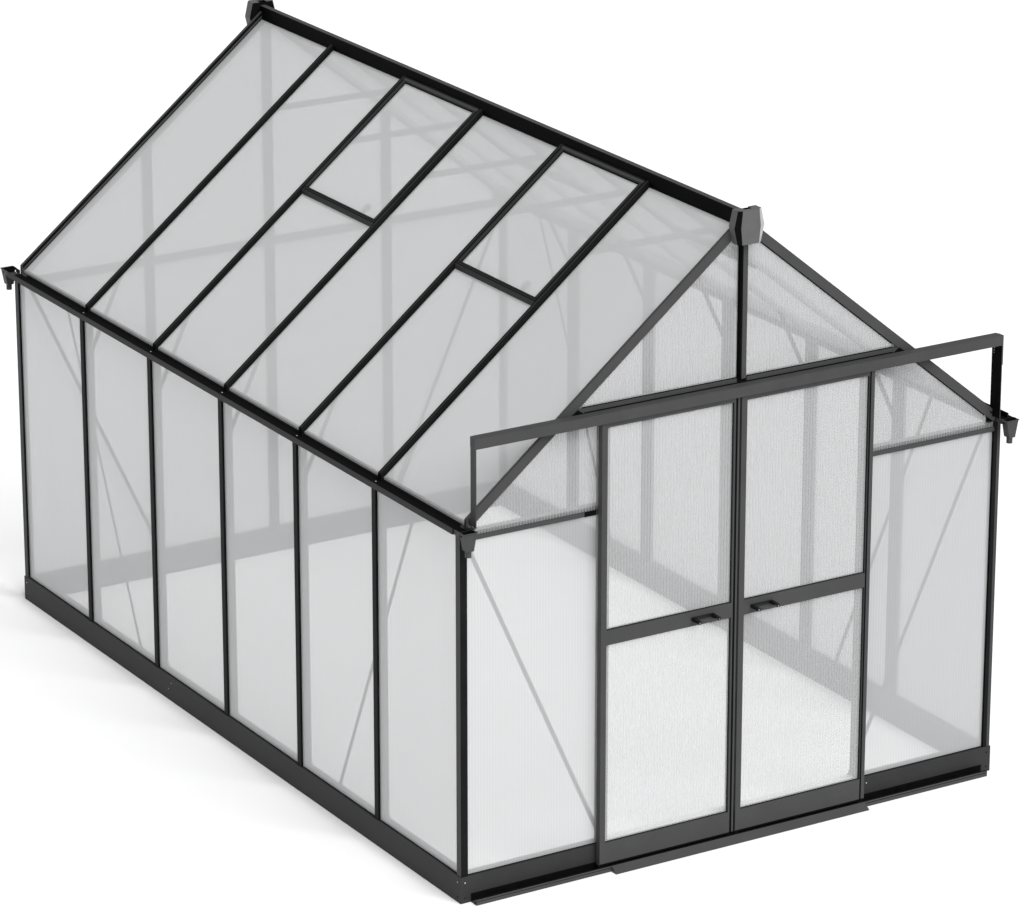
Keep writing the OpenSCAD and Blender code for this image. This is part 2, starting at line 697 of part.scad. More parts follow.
// A handle whose middle stands at a distance from the door's meeting edge.
module door_handle(from_edge) {
    x = door_inner + from_edge;
    z = mid_rail_z + mid_rail_h / 2;
    difference() {
        block([x - handle_w / 2, door_y1 - handle_out, z - handle_h / 2],
              [x + handle_w / 2, door_y1, z + handle_h / 2]);
        block([x - handle_w / 2 + handle_leg, door_y1 - handle_out + handle_leg, z - handle_h / 2 - EPS],
              [x + handle_w / 2 - handle_leg, door_y1 - handle_back, z + handle_h / 2 + EPS]);
    }
}
// A wheel in its fork under a door stile.
module door_wheel(x) {
    mid = (door_y1 + door_y2) / 2;
    axle_z = sill_t + wheel_run + wheel_r;
    cheek = wheel_w / 2 + side_run;
    difference() {
        block([x - fork_w / 2, mid - cheek - fork_t, axle_z - fork_low],
              [x + fork_w / 2, mid + cheek + fork_t, door_z]);
        block([x - fork_w / 2 - EPS, mid - cheek, axle_z - fork_low - EPS],
              [x + fork_w / 2 + EPS, mid + cheek, door_z - fork_t]);
    }
    translate([x, mid + cheek + fork_t, axle_z]) rotate([90, 0, 0]) cylinder(r = axle_r, h = 2 * (cheek + fork_t));
    translate([x, mid + wheel_w / 2, axle_z]) rotate([90, 0, 0]) difference() {
        cylinder(r = wheel_r, h = wheel_w);
        translate([0, 0, -EPS]) cylinder(r = axle_r + axle_run, h = wheel_w + 2 * EPS);
    }
}
module door_wheels() {
    door_wheel(door_inner + stile_w / 2);
    door_wheel(door_outer - stile_w / 2);
}
module left_door_frame() { color(FRAME) door_side(-1) door_frame(); }
module right_door_frame() { color(FRAME) door_side(1) door_frame(); }
module left_door_panels() { color(SHEET) door_side(-1) door_sheets(); }
module right_door_panels() { color(SHEET) door_side(1) door_sheets(); }
module left_door_handle() { color(PLASTIC) door_side(-1) door_handle(left_handle_x); }
module right_door_handle() { color(PLASTIC) door_side(1) door_handle(right_handle_x); }
module left_door_wheels() { color(PLASTIC) door_side(-1) door_wheels(); }
module right_door_wheels() { color(PLASTIC) door_side(1) door_wheels(); }

base_front();
base_back();
base_left();
base_right();
corner_posts();
left_posts();
right_posts();
back_posts();
door_jambs();
left_gutter();
right_gutter();
gutter_outlets();
front_rafters();
back_rafters();
ridge_beam();
ridge_caps();
left_roof_bars();
right_roof_bars();
collar_ties();
knee_braces();
wall_braces();
front_eave_bars();
back_eave_bars();
king_post();
door_lintel();
door_top_track();
track_brackets();
door_bottom_track();
threshold_ramp();
left_roof_panels();
right_roof_panels();
left_wall_panels();
right_wall_panels();
front_panels();
back_panels();
vent_crossbars();
vent_frames();
vent_panels();
vent_knobs();
left_door_frame();
left_door_panels();
left_door_handle();
left_door_wheels();
right_door_frame();
right_door_panels();
right_door_handle();
right_door_wheels();
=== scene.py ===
"""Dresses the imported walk-in greenhouse: powder-coated frame, twin-wall sheets, moulded fittings."""

import json
import logging
import math
from dataclasses import dataclass
from enum import Enum
from typing import Optional, Sequence

import bmesh
import bpy
from mathutils import Matrix, Vector

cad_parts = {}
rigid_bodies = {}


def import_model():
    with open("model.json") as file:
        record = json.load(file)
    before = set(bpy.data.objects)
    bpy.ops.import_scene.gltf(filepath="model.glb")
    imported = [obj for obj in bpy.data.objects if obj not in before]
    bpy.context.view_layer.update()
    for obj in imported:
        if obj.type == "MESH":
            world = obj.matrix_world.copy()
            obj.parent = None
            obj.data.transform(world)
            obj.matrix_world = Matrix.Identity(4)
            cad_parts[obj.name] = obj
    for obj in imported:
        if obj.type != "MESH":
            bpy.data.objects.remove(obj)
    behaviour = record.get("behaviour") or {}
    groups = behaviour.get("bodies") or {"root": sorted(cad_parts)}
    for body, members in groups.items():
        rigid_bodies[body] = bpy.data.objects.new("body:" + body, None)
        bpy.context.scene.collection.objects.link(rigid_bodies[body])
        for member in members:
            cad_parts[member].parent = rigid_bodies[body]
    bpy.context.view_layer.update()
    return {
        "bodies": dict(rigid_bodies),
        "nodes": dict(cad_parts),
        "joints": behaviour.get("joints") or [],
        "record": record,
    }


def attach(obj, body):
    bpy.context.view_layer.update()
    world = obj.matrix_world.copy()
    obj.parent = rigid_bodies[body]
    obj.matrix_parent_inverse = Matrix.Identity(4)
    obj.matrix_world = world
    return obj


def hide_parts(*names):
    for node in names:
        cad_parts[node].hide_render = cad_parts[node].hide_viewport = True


LOG = logging.getLogger("greenhouse")
Vec = tuple[float, float, float]
Span = tuple[float, float]
Socket = bpy.types.NodeSocket

MM = 0.001  # the sizes of the sub-assemblies are in millimetres, and the meshes are in metres
UP = (0.0, 0.0, 1.0)
BAY = 610
SIDE_BAYS = 6
VENT_BAYS = (1, 3)
GRID_YS = tuple(-1824 + i * BAY for i in range(SIDE_BAYS + 1))  # between the bays, from the door end
FRONT_Y = -1849  # outer faces of the base's two ends
BACK_Y = 1861
GABLE_Y = -1845  # front face of the posts and rafters of the door end
ROOF_PITCH = math.radians(39.1)
APEX_Z = 2475.5  # where the rafters' top planes meet
BAR_HALF = 13.5  # half width of a roof bar
RAFTER_W = 15
RIDGE_HALF = 12  # half width of the ridge beam
SHEET_TOP = 24  # depth of the roof sheets' top below the rafters' top plane
EAVE_X = 1188  # the roof bars' heels
GUTTER_X = 1176  # inner face of the gutters' inner walls
FLANGE_Z = 1470  # floor of the gutters
CORNER_X = 1216  # outer faces of the corner posts
CORNER_W = 30
BASE_TOP = 105  # lower edge of the wall sheets, on the base rails
TRACK_HALF = 1176  # half length of the bottom track
ROOF_SEAL_W = 2.5
SEAL_H = 3  # height of the roof sheets' seals
FINE_EDGE = 0.3  # bevel of a thin strip
SOFT_EDGE = 0.4  # bevel of a rim or cover
PLATE_EDGE = 0.5  # bevel of a small plate
PLAY = 1  # how far a piece stands back from its neighbour's edge
HEAD_SIDES = 12
HEART = (0.0, 0.0, 1.2)  # in metres, a point inside that the sheets' inward faces look at


class Side(Enum):
    """A long side of the greenhouse; the value is the sign of its X."""

    LEFT = -1
    RIGHT = 1


class End(Enum):
    """A gable end of the greenhouse; the value is the direction that its outside faces along Y."""

    FRONT = -1
    BACK = 1

    def y(self, front: float) -> float:
        """Y at this end of what has the given Y at the door end."""
        return front if self is End.FRONT else FRONT_Y + BACK_Y - front


class Slot(Enum):
    """The record's material slots."""

    FRAME = "frame"
    BASE = "base_steel"
    SHEET = "sheet"
    PLASTIC = "plastic"


class Flutes(Enum):
    """The axis that counts the channels of a twin-wall sheet."""

    ALONG_X = "X"
    ALONG_Y = "Y"


# ---- finishes ----


class NodeGraph:
    """A thin helper for building a material's node tree."""

    def __init__(self, name: str) -> None:
        """Starts an empty material.

        Args:
            name: the material's name.
        """
        self.material = bpy.data.materials.new(name)
        self.material.use_nodes = True
        self.tree = self.material.node_tree
        self.tree.nodes.clear()
        self.output = self.add("ShaderNodeOutputMaterial")

    def add(self, kind: str, **settings: object) -> bpy.types.Node:
        """Adds a node and sets its properties and sockets.

        Args:
            kind: the node's type name.
            settings: properties by name, or socket values by name with spaces as underscores.

        Returns:
            The new node.
        """
        node = self.tree.nodes.new(kind)
        for key, value in settings.items():
            if hasattr(node, key):
                setattr(node, key, value)
            else:
                node.inputs[key.replace("_", " ")].default_value = value
        return node

    def link(self, source: Socket, target: Socket) -> None:
        """Joins an output socket to an input socket."""
        self.tree.links.new(source, target)

    def surface(self, **settings: float) -> bpy.types.Node:
        """Adds the surface shader and joins it to the material's output.

        Args:
            settings: socket values by name, with spaces as underscores.

        Returns:
            The shader's node.
        """
        shader = self.add("ShaderNodeBsdfPrincipled", **settings)
        self.link(shader.outputs["BSDF"], self.output.inputs["Surface"])
        return shader

    def noise(self, scale: float, detail: float, roughness: float = 0.5,
              stretch: Vec = (1.0, 1.0, 1.0)) -> Socket:
        """Adds noise in object space.

        Args:
            scale: cells per metre.
            detail: octaves.
            roughness: strength of the finer octaves.
            stretch: factors on the three axes.

        Returns:
            The noise's factor socket.
        """
        place = self.add("ShaderNodeTexCoord")
        mapping = self.add("ShaderNodeMapping")
        mapping.inputs["Scale"].default_value = stretch
        self.link(place.outputs["Object"], mapping.inputs["Vector"])
        noise = self.add("ShaderNodeTexNoise", Scale=scale, Detail=detail, Roughness=roughness)
        self.link(mapping.outputs["Vector"], noise.inputs["Vector"])
        return noise.outputs["Fac"]

    def ramp(self, factor: Socket, stops: Span, dark: Vec, light: Vec) -> Socket:
        """Maps a factor to a colour between two stops.

        Args:
            factor: the factor's socket.
            stops: factors of the two stops.
            dark: colour of the first stop.
            light: colour of the second stop.

        Returns:
            The colour's socket.
        """
        ramp = self.add("ShaderNodeValToRGB")
        for stop, position, colour in zip(ramp.color_ramp.elements, stops, (dark, light)):
            stop.position = position
            stop.color = (*colour, 1.0)
        self.link(factor, ramp.inputs["Fac"])
        return ramp.outputs["Color"]

    def span(self, factor: Socket, low: float, high: float, **settings: object) -> Socket:
        """Maps a factor of 0 to 1 to a range.

        Args:
            factor: the factor's socket.
            low: the value at 0.
            high: the value at 1.
            settings: other settings of the node.

        Returns:
            The value's socket.
        """
        spread = self.add("ShaderNodeMapRange", To_Min=low, To_Max=high, **settings)
        self.link(factor, spread.inputs["Value"])
        return spread.outputs["Result"]

    def calculate(self, operation: str, value: Socket, other: float = 0.0) -> Socket:
        """Adds a calculation.

        Args:
            operation: its name.
            value: the first value's socket.
            other: the second value, where the operation takes one.

        Returns:
            The result's socket.
        """
        node = self.add("ShaderNodeMath", operation=operation)
        node.inputs[1].default_value = other
        self.link(value, node.inputs[0])
        return node.outputs[0]


@dataclass(frozen=True)
class Finish:
    """A finish, whose material is built when a piece first asks for it."""

    name: str

    def shade(self, graph: NodeGraph) -> None:
        """Builds the material's nodes, in each kind of finish its own."""
        raise NotImplementedError

    def material(self) -> bpy.types.Material:
        """Builds the material once.

        Returns:
            The material.
        """
        known = bpy.data.materials.get(self.name)
        if known is None:
            graph = NodeGraph(self.name)
            self.shade(graph)
            known = graph.material
        return known


@dataclass(frozen=True)
class Mottled(Finish):
    """A surface with soft patches of two colours over a fine relief."""

    dark: Vec
    light: Vec
    roughness: float
    gloss: float = 0.2
    metallic: float = 0.0
    drawn: Vec = (1.0, 1.0, 1.0)  # stretch of the mottling
    patch_scale: float = 7.0
    patch_detail: float = 5.0
    patch_crispness: float = 0.6
    patch_stops: Span = (0.3, 0.7)
    mottle: float = 0.05  # how far the roughness wanders
    relief_scale: float = 900.0
    relief_detail: float = 2.0
    relief_height: float = 0.08 * MM
    relief_strength: float = 0.35

    def shade(self, graph: NodeGraph) -> None:
        """Lays patches of colour and roughness over a fine relief.

        Args:
            graph: the material's graph.
        """
        shader = graph.surface(Metallic=self.metallic, Specular_IOR_Level=self.gloss)
        patches = graph.noise(self.patch_scale, self.patch_detail, self.patch_crispness, self.drawn)
        graph.link(graph.ramp(patches, self.patch_stops, self.dark, self.light), shader.inputs["Base Color"])
        graph.link(graph.span(patches, self.roughness - self.mottle, self.roughness + self.mottle),
                   shader.inputs["Roughness"])
        if self.relief_height > 0.0:
            bump = graph.add("ShaderNodeBump", Distance=self.relief_height, Strength=self.relief_strength)
            graph.link(graph.noise(self.relief_scale, self.relief_detail), bump.inputs["Height"])
            graph.link(bump.outputs["Normal"], shader.inputs["Normal"])


@dataclass(frozen=True)
class PowderCoat(Mottled):
    """Satin powder coat on aluminium or steel, with a fine orange peel."""


@dataclass(frozen=True)
class MouldedPlastic(Mottled):
    """Moulded plastic or rubber with a fine spark-eroded grain."""

    patch_scale: float = 30.0
    patch_detail: float = 4.0
    mottle: float = 0.06
    relief_scale: float = 1400.0
    relief_height: float = 0.1 * MM
    relief_strength: float = 0.4


@dataclass(frozen=True)
class BrightMetal(Mottled):
    """Plated steel of screws, rivets and washers, without a relief."""

    gloss: float = 0.5
    metallic: float = 1.0
    patch_scale: float = 400.0
    patch_detail: float = 3.0
    patch_crispness: float = 0.5
    mottle: float = 0.08
    relief_height: float = 0.0


@dataclass(frozen=True)
class TwinWall(Finish):
    """Translucent twin-wall sheet, whose webs show as fine parallel lines where its flutes are given."""

    tint: Vec
    clear: float  # share of the light that passes one face between the webs
    # painted shade: the tint of the inward faces is darkened by this factor
    inward_painted_shade: float  # factor on the tint of the inward faces
    flutes: Optional[Flutes] = None
    web_clear: float = 0.0  # share of the light that passes one face at a web
    pitch: float = 12.7 * MM
    web_share: float = 0.24
    gloss: float = 0.35
    roughness: float = 0.28
    cloud_scale: float = 1.6
    cloud_detail: float = 3.0
    cloud: float = 0.02  # how far the clearness of a sheet without flutes wanders

    def facing_in(self, graph: NodeGraph) -> Socket:
        """Tells the faces that look into the greenhouse from those that look out.

        Args:
            graph: the material's graph.

        Returns:
            A factor that is 1 on the inward faces and 0 on the outward ones.
        """
        surface = graph.add("ShaderNodeNewGeometry")
        outward = graph.add("ShaderNodeVectorMath", operation="SUBTRACT")
        outward.inputs[1].default_value = HEART
        graph.link(surface.outputs["Position"], outward.inputs[0])
        facing = graph.add("ShaderNodeVectorMath", operation="DOT_PRODUCT")
        graph.link(outward.outputs["Vector"], facing.inputs[0])
        graph.link(surface.outputs["True Normal"], facing.inputs[1])
        return graph.calculate("LESS_THAN", facing.outputs["Value"])

    def web_lines(self, graph: NodeGraph) -> Socket:
        """Draws the sheet's webs as soft lines.

        Args:
            graph: the material's graph.

        Returns:
            A factor that is 1 on a web and 0 between two webs.
        """
        place = graph.add("ShaderNodeTexCoord")
        split = graph.add("ShaderNodeSeparateXYZ")
        graph.link(place.outputs["Object"], split.inputs["Vector"])
        turns = graph.calculate("MULTIPLY", split.outputs[self.flutes.value], math.tau / self.pitch)
        return graph.span(graph.calculate("COSINE", turns), 0.0, 1.0, interpolation_type="SMOOTHSTEP",
                          From_Min=1.0 - 2.0 * self.web_share, From_Max=1.0)

    def shade(self, graph: NodeGraph) -> None:
        """Tints the two faces, the inward ones darker as painted shade, and lets light through, less at the
        webs.

        Args:
            graph: the material's graph.
        """
        shader = graph.surface(Specular_IOR_Level=self.gloss, Roughness=self.roughness)
        # painted shade: the inward faces take a darker copy of the tint
        shaded = tuple(self.inward_painted_shade * c for c in self.tint)
        tint = graph.ramp(self.facing_in(graph), (0.0, 1.0), self.tint, shaded)
        graph.link(tint, shader.inputs["Base Color"])
        dense = 1.0 - self.clear
        if self.flutes is None:
            clouds = graph.noise(self.cloud_scale, self.cloud_detail)
            alpha = graph.span(clouds, dense - self.cloud, dense + self.cloud)
        else:
            alpha = graph.span(self.web_lines(graph), dense, 1.0 - self.web_clear)
        graph.link(alpha, shader.inputs["Alpha"])


@dataclass(frozen=True)
class StudioFloor(Finish):
    """The plain pale floor of the studio."""

    colour: Vec
    roughness: float
    gloss: float = 0.2

    def shade(self, graph: NodeGraph) -> None:
        """Gives the floor its one colour.

        Args:
            graph: the material's graph.
        """
        shader = graph.surface(Specular_IOR_Level=self.gloss, Roughness=self.roughness)
        shader.inputs["Base Color"].default_value = (*self.colour, 1.0)


DRAWN_X = (0.1, 1.0, 1.0)  # mottling of metal drawn along X
DRAWN_Y = (1.0, 0.15, 1.0)  # mottling of metal drawn along Y


class Finishes(Enum):
    """The greenhouse's finishes."""

    FRAME = PowderCoat("frame_coat", (0.005, 0.005, 0.0051), (0.009, 0.009, 0.0092), 0.5, gloss=0.07)
    # painted light: the gable coat is the frame coat made lighter, for members and strips on faces that the
    # light falls on
    GABLE = PowderCoat("lit_frame_coat", (0.048, 0.048, 0.049), (0.056, 0.056, 0.057), 0.52, gloss=0.12)
    BASE = PowderCoat("base_coat", (0.026, 0.026, 0.0265), (0.033, 0.033, 0.0335), 0.5, gloss=0.12,
                      drawn=DRAWN_Y)
    # painted shade: the ridge coat is the frame coat made nearly black, for the ridge beam's shaded sides
    RIDGE = PowderCoat("shaded_ridge_coat", (0.001, 0.001, 0.001), (0.003, 0.003, 0.003), 0.6, gloss=0.03)
    # the gutter coat also paints the highlight strips along the roof bars' tops
    GUTTER = PowderCoat("gutter_coat_and_bar_highlight", (0.02, 0.02, 0.0205), (0.027, 0.027, 0.0275), 0.5, gloss=0.12,
                        drawn=DRAWN_Y)
    # painted light: a near-white coat for the plate over the doorway's base flange
    DOORWAY_LIGHT = PowderCoat("doorway_light_coat", (0.72, 0.72, 0.73), (0.8, 0.8, 0.81), 0.4, gloss=0.3, drawn=DRAWN_X)
    # also paints shade: the door pulls' back bars and arms are drawn black with it
    PLASTIC = MouldedPlastic("moulded_black_and_pull_shade", (0.004, 0.004, 0.004), (0.008, 0.008, 0.0082), 0.45)
    HOPPER = MouldedPlastic("hopper_grey", (0.04, 0.04, 0.041), (0.052, 0.052, 0.053), 0.5)
    CAP = MouldedPlastic("cap_grey", (0.085, 0.085, 0.087), (0.1, 0.1, 0.102), 0.5)
    # black rubber of the seals, also used for the black strips and skins that paint shade
    RUBBER_AND_SHADE = MouldedPlastic("rubber_and_painted_shade", (0.002, 0.002, 0.002), (0.004, 0.004, 0.004), 0.8, gloss=0.05)
    TAPE = MouldedPlastic("sheet_end_tape", (0.28, 0.28, 0.285), (0.34, 0.34, 0.345), 0.5)
    # painted highlight: light grey for the right-hand bevels of the ridge caps
    BEVEL_HIGHLIGHT = MouldedPlastic("bevel_highlight_grey", (0.34, 0.34, 0.345), (0.4, 0.4, 0.405), 0.4)
    PLATED = BrightMetal("plated_steel", (0.576, 0.576, 0.584), (0.72, 0.72, 0.73), 0.3)
    # painted light and shade: these finishes stand for one twin-wall sheet; their tints differ between roof,
    # side walls, ends, gable tops and doors to give each set the brightness it shows under the light
    ROOF_SHEET = TwinWall("roof_twin_wall", (0.535, 0.54, 0.545), 0.385, 0.6)
    SIDE_SHEET = TwinWall("side_twin_wall", (0.66, 0.665, 0.675), 0.5, 0.65, Flutes.ALONG_Y, 0.46)
    END_SHEET = TwinWall("end_twin_wall", (0.456, 0.461, 0.466), 0.55, 0.8, Flutes.ALONG_X, 0.51)
    GABLE_SHEET = TwinWall("gable_twin_wall", (0.44, 0.445, 0.45), 0.62, 0.8, Flutes.ALONG_X, 0.5)
    DOOR_SHEET = TwinWall("door_twin_wall", (0.47, 0.475, 0.48), 0.63, 0.8, Flutes.ALONG_X, 0.5)
    FLOOR = StudioFloor("studio_floor", (0.92, 0.92, 0.92), 0.8)


# ---- places ----


def roof_z(x: float, down: float = 0.0) -> float:
    """Height of the rafters' top plane at a distance from the middle, lowered square to the slope.

    Args:
        x: distance from the middle.
        down: how far it is lowered.

    Returns:
        The height.
    """
    return APEX_Z - abs(x) * math.tan(ROOF_PITCH) - down / math.cos(ROOF_PITCH)


def bay_span(bay: int, gable_edge: float, half: float) -> Span:
    """Y of the two edges of a bay.

    Args:
        bay: the bay, counted from the door end.
        gable_edge: width of the rafter or post that bounds the first and the last bay.
        half: half width of the bars between bays.

    Returns:
        The edge towards the doors and the one towards the back.
    """
    first = GABLE_Y + gable_edge if bay == 0 else GRID_YS[bay] + half
    last = End.BACK.y(GABLE_Y + gable_edge) if bay == SIDE_BAYS - 1 else GRID_YS[bay + 1] - half
    return first, last


def framing(us: Span, vs: Span, width: float) -> list[tuple[Span, Span]]:
    """Strips that frame a rectangle inside its edges.

    Args:
        us: the rectangle's limits on its first axis.
        vs: the rectangle's limits on its second axis.
        width: the strips' width.

    Returns:
        Limits on the two axes of the two strips that run in full along the second axis, then of the
        two strips between them.
    """
    (u1, u2), (v1, v2) = us, vs
    between = (u1 + width, u2 - width)
    return [((u1, u1 + width), vs), ((u2 - width, u2), vs),
            (between, (v1, v1 + width)), (between, (v2 - width, v2))]


def rod_profile(radius: float, length: float) -> list[Span]:
    """Radius and height of the corners of a plain round rod's profile."""
    return [(0, 0), (radius, 0), (radius, length), (0, length)]


# ---- mesh tools ----


class Shaper:
    """Collects simple forms into one mesh piece."""

    def __init__(self) -> None:
        """Starts an empty mesh."""
        self.mesh = bmesh.new()

    def prism(self, outline: Sequence[Sequence[float]], along: Vec, bevel: float = 0.0) -> None:
        """Extrudes a flat outline.

        Args:
            outline: the outline's corners.
            along: the extrusion.
            bevel: width of the bevel on all its edges.
        """
        low = [self.mesh.verts.new([MM * c for c in p]) for p in outline]
        high = [self.mesh.verts.new([MM * (c + d) for c, d in zip(p, along)]) for p in outline]
        faces = [self.mesh.faces.new(low), self.mesh.faces.new(high[::-1])]
        for i in range(len(outline)):
            j = (i + 1) % len(outline)
            faces.append(self.mesh.faces.new((low[j], low[i], high[i], high[j])))
        bmesh.ops.recalc_face_normals(self.mesh, faces=faces)
        if bevel > 0.0:
            edges = list({e for f in faces for e in f.edges})
            bmesh.ops.bevel(self.mesh, geom=edges, offset=MM * bevel, segments=2, profile=0.7, affect="EDGES")

    def box(self, xs: Span, ys: Span, zs: Span, bevel: float = 0.0, sign: int = 1) -> None:
        """Adds a bar between limits on the three axes, each pair in either order.

        Args:
            xs: its limits along X.
            ys: its limits along Y.
            zs: its limits along Z.
            bevel: width of the bevel.
            sign: -1 to mirror its X.
        """
        (x1, x2), (y1, y2), (z1, z2) = sorted(sign * x for x in xs), sorted(ys), sorted(zs)
        self.prism([(x1, y1, z1), (x2, y1, z1), (x2, y2, z1), (x1, y2, z1)], (0, 0, z2 - z1), bevel)

    def slope(self, side: Side, run: Span, depth: Span, span: Span, bevel: float = FINE_EDGE) -> None:
        """Adds a strip that lies along a roof slope.

        Args:
            side: the slope.
            run: distances of its two ends from the middle of the greenhouse.
            depth: depths of its top and underside below the rafters' top plane, square to the slope.
            span: Y of its two long edges.
            bevel: width of the bevel.
        """
        (x1, x2), (d1, d2), (y1, y2) = run, depth, sorted(span)
        corners = ((x1, d1), (x2, d1), (x2, d2), (x1, d2))
        self.prism([(side.value * x, y1, roof_z(x, d)) for x, d in corners], (0, y2 - y1, 0), bevel)

    def lathe(self, foot: Vec, axis: Vec, profile: Sequence[Span], sides: int) -> None:
        """Turns a profile round an axis, and closes its foot.

        Args:
            foot: where the axis starts.
            axis: the axis's direction.
            profile: pairs of radius and height, of which the last radius is 0.
            sides: number of sides.
        """
        turn = Vector(UP).rotation_difference(Vector(axis)).to_matrix().to_4x4()
        place = Matrix.Translation([MM * c for c in foot]) @ turn
        angles = [math.tau * k / sides for k in range(sides)]
        loops = []
        for radius, height in profile:
            ring = [Vector((radius * math.cos(a), radius * math.sin(a), height)) for a in angles]
            if radius == 0.0:
                loops.append([self.mesh.verts.new(place @ (MM * ring[0]))] * sides)
            else:
                loops.append([self.mesh.verts.new(place @ (MM * p)) for p in ring])
        for below, above in zip(loops, loops[1:]):
            for k in range(sides):
                j = (k + 1) % sides
                corners = [below[k], below[j], above[j], above[k]]
                self.mesh.faces.new([v for n, v in enumerate(corners) if v not in corners[:n]])
        if profile[0][0] > 0.0:
            self.mesh.faces.new(loops[0][::-1])

    def dome(self, seat: Vec, normal: Vec, radius: float, height: float) -> None:
        """Adds a domed head, such as a rivet's or a screw's.

        Args:
            seat: middle of its seat.
            normal: the way it faces.
            radius: radius of its seat.
            height: height of its crown.
        """
        crown = ((1.0, 0), (0.92, 0.45), (0.6, 0.85), (0, 1.0))
        self.lathe(seat, normal, [(radius * r, height * h) for r, h in crown], HEAD_SIDES)

    def finish(self, name: str, finish: Finishes, slot: Slot = Slot.FRAME, body: str = "root",
               smooth: bool = False) -> bpy.types.Object:
        """Makes the piece and rides it on a body.

        Args:
            name: the piece's name.
            finish: its finish.
            slot: the record's material slot; not used.
            body: the body that it rides on.
            smooth: whether its faces are shaded smooth.

        Returns:
            The piece.
        """
        bmesh.ops.recalc_face_normals(self.mesh, faces=self.mesh.faces)
        data = bpy.data.meshes.new(name)
        self.mesh.to_mesh(data)
        self.mesh.free()
        for polygon in data.polygons:
            polygon.use_smooth = smooth
        data.materials.append(finish.value.material())
        piece = bpy.data.objects.new(name, data)
        bpy.context.scene.collection.objects.link(piece)
        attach(piece, body)
        LOG.info("%s: %d faces on %s", name, len(data.polygons), body)
        return piece


# ---- the greenhouse ----


@dataclass
class Dressing:
    """The finishes of the CAD's own solids. The twin-wall sheets let the light through."""

    frame: dict
    coats: tuple[tuple[Finishes, tuple[str, ...]], ...] = (
        # painted light and shade: the gable coat is a lighter copy of the frame coat, the ridge coat a darker
        # one
        (Finishes.GABLE, ("front_rafters", "back_rafters", "king_post", "door_lintel", "front_eave_bars",
                          "back_eave_bars", "track_brackets", "door_top_track", "door_bottom_track",
                          "threshold_ramp", "left_door_frame", "right_door_frame")),
        (Finishes.FRAME, ("corner_posts", "left_posts", "right_posts", "back_posts", "door_jambs",
                          "left_roof_bars", "right_roof_bars", "collar_ties", "knee_braces", "wall_braces",
                          "vent_crossbars")),
        (Finishes.BASE, ("base_front", "base_back", "base_left", "base_right")),
        (Finishes.GUTTER, ("left_gutter", "right_gutter", "vent_frames")),
        (Finishes.RIDGE, ("ridge_beam",)),
        (Finishes.PLASTIC, ("vent_knobs", "left_door_wheels", "right_door_wheels")),
        (Finishes.HOPPER, ("gutter_outlets",)),
        (Finishes.CAP, ("ridge_caps",)),
        (Finishes.ROOF_SHEET, ("left_roof_panels", "right_roof_panels", "vent_panels")),
        (Finishes.SIDE_SHEET, ("left_wall_panels", "right_wall_panels")),
        (Finishes.END_SHEET, ("front_panels", "back_panels")),
        (Finishes.DOOR_SHEET, ("left_door_panels", "right_door_panels")),
    )
    eave_bar_z: float = 1436

    def split_gable(self, node: bpy.types.Object) -> None:
        """Gives a gable's sheets above the eave bar the clearer finish.

        Args:
            node: the gable's sheets.
        """
        node.data.materials.append(Finishes.GABLE_SHEET.value.material())
        for polygon in node.data.polygons:
            if (node.matrix_world @ polygon.center).z > self.eave_bar_z * MM:
                polygon.material_index = 1

    def build(self) -> None:
        """Dresses the nodes. The sheets neither cast shadows nor reflect light onto the rest."""
        for finish, names in self.coats:
            for name in names:
                node = self.frame["nodes"][name]
                node.data.materials.clear()
                node.data.materials.append(finish.value.material())
                if isinstance(finish.value, TwinWall):
                    node.visible_shadow = False
                    node.visible_diffuse = False
                if finish is Finishes.END_SHEET:
                    self.split_gable(node)
                LOG.info("%s dressed in %s", name, finish.value.name)


@dataclass
class RoofTrim:
    """The painted highlight strips along the top of each bar, the ridge's top strip in the lighter coat as
    painted light, and the seals and tapes of the sheets.
    """

    crown_w: float = 7
    crown_h: float = 1.2
    bar_depth: float = 9
    heel_gap: float = 3
    ridge_zs: Span = (2490.5, 2492)
    ridge_edge: float = 0.6
    cross_x: float = 503  # upper edge of the sheets below the vents
    tape_w: float = 5
    tape_out: float = 1.5
    tape_h: float = 0.5

    def build(self) -> None:
        """Builds the trim of both slopes."""
        crown_highlights, seals, ridge, tapes = Shaper(), Shaper(), Shaper(), Shaper()
        for side in Side:
            for y in GRID_YS[1:-1]:
                crown_highlights.slope(side, (RIDGE_HALF, EAVE_X - self.heel_gap),
                             (self.bar_depth - self.crown_h, self.bar_depth),
                             (y - self.crown_w / 2, y + self.crown_w / 2))
            for bay in range(SIDE_BAYS):
                first, last = bay_span(bay, RAFTER_W, BAR_HALF)
                start, count = (self.cross_x, 2) if bay in VENT_BAYS else (RIDGE_HALF, 3)
                for across, run in framing((first, last), (start, GUTTER_X), ROOF_SEAL_W)[:count]:
                    seals.slope(side, run, (SHEET_TOP - SEAL_H, SHEET_TOP), across)
                tapes.slope(side, (GUTTER_X - self.tape_w, GUTTER_X + self.tape_out),
                            (SHEET_TOP - self.tape_h, SHEET_TOP),
                            (first + ROOF_SEAL_W, last - ROOF_SEAL_W), 0)
        ridge.box((-RIDGE_HALF, RIDGE_HALF), (GABLE_Y + PLAY, End.BACK.y(GABLE_Y + PLAY)), self.ridge_zs,
                  self.ridge_edge)
        # painted highlight: lighter strips along the bars' tops
        crown_highlights.finish("bar_crown_highlights", Finishes.GUTTER)
        seals.finish("roof_seals", Finishes.RUBBER_AND_SHADE)
        # painted light: the ridge's top strip takes the lighter gable coat
        ridge.finish("ridge_crown", Finishes.GABLE)
        tapes.finish("sheet_tapes", Finishes.TAPE, Slot.SHEET)


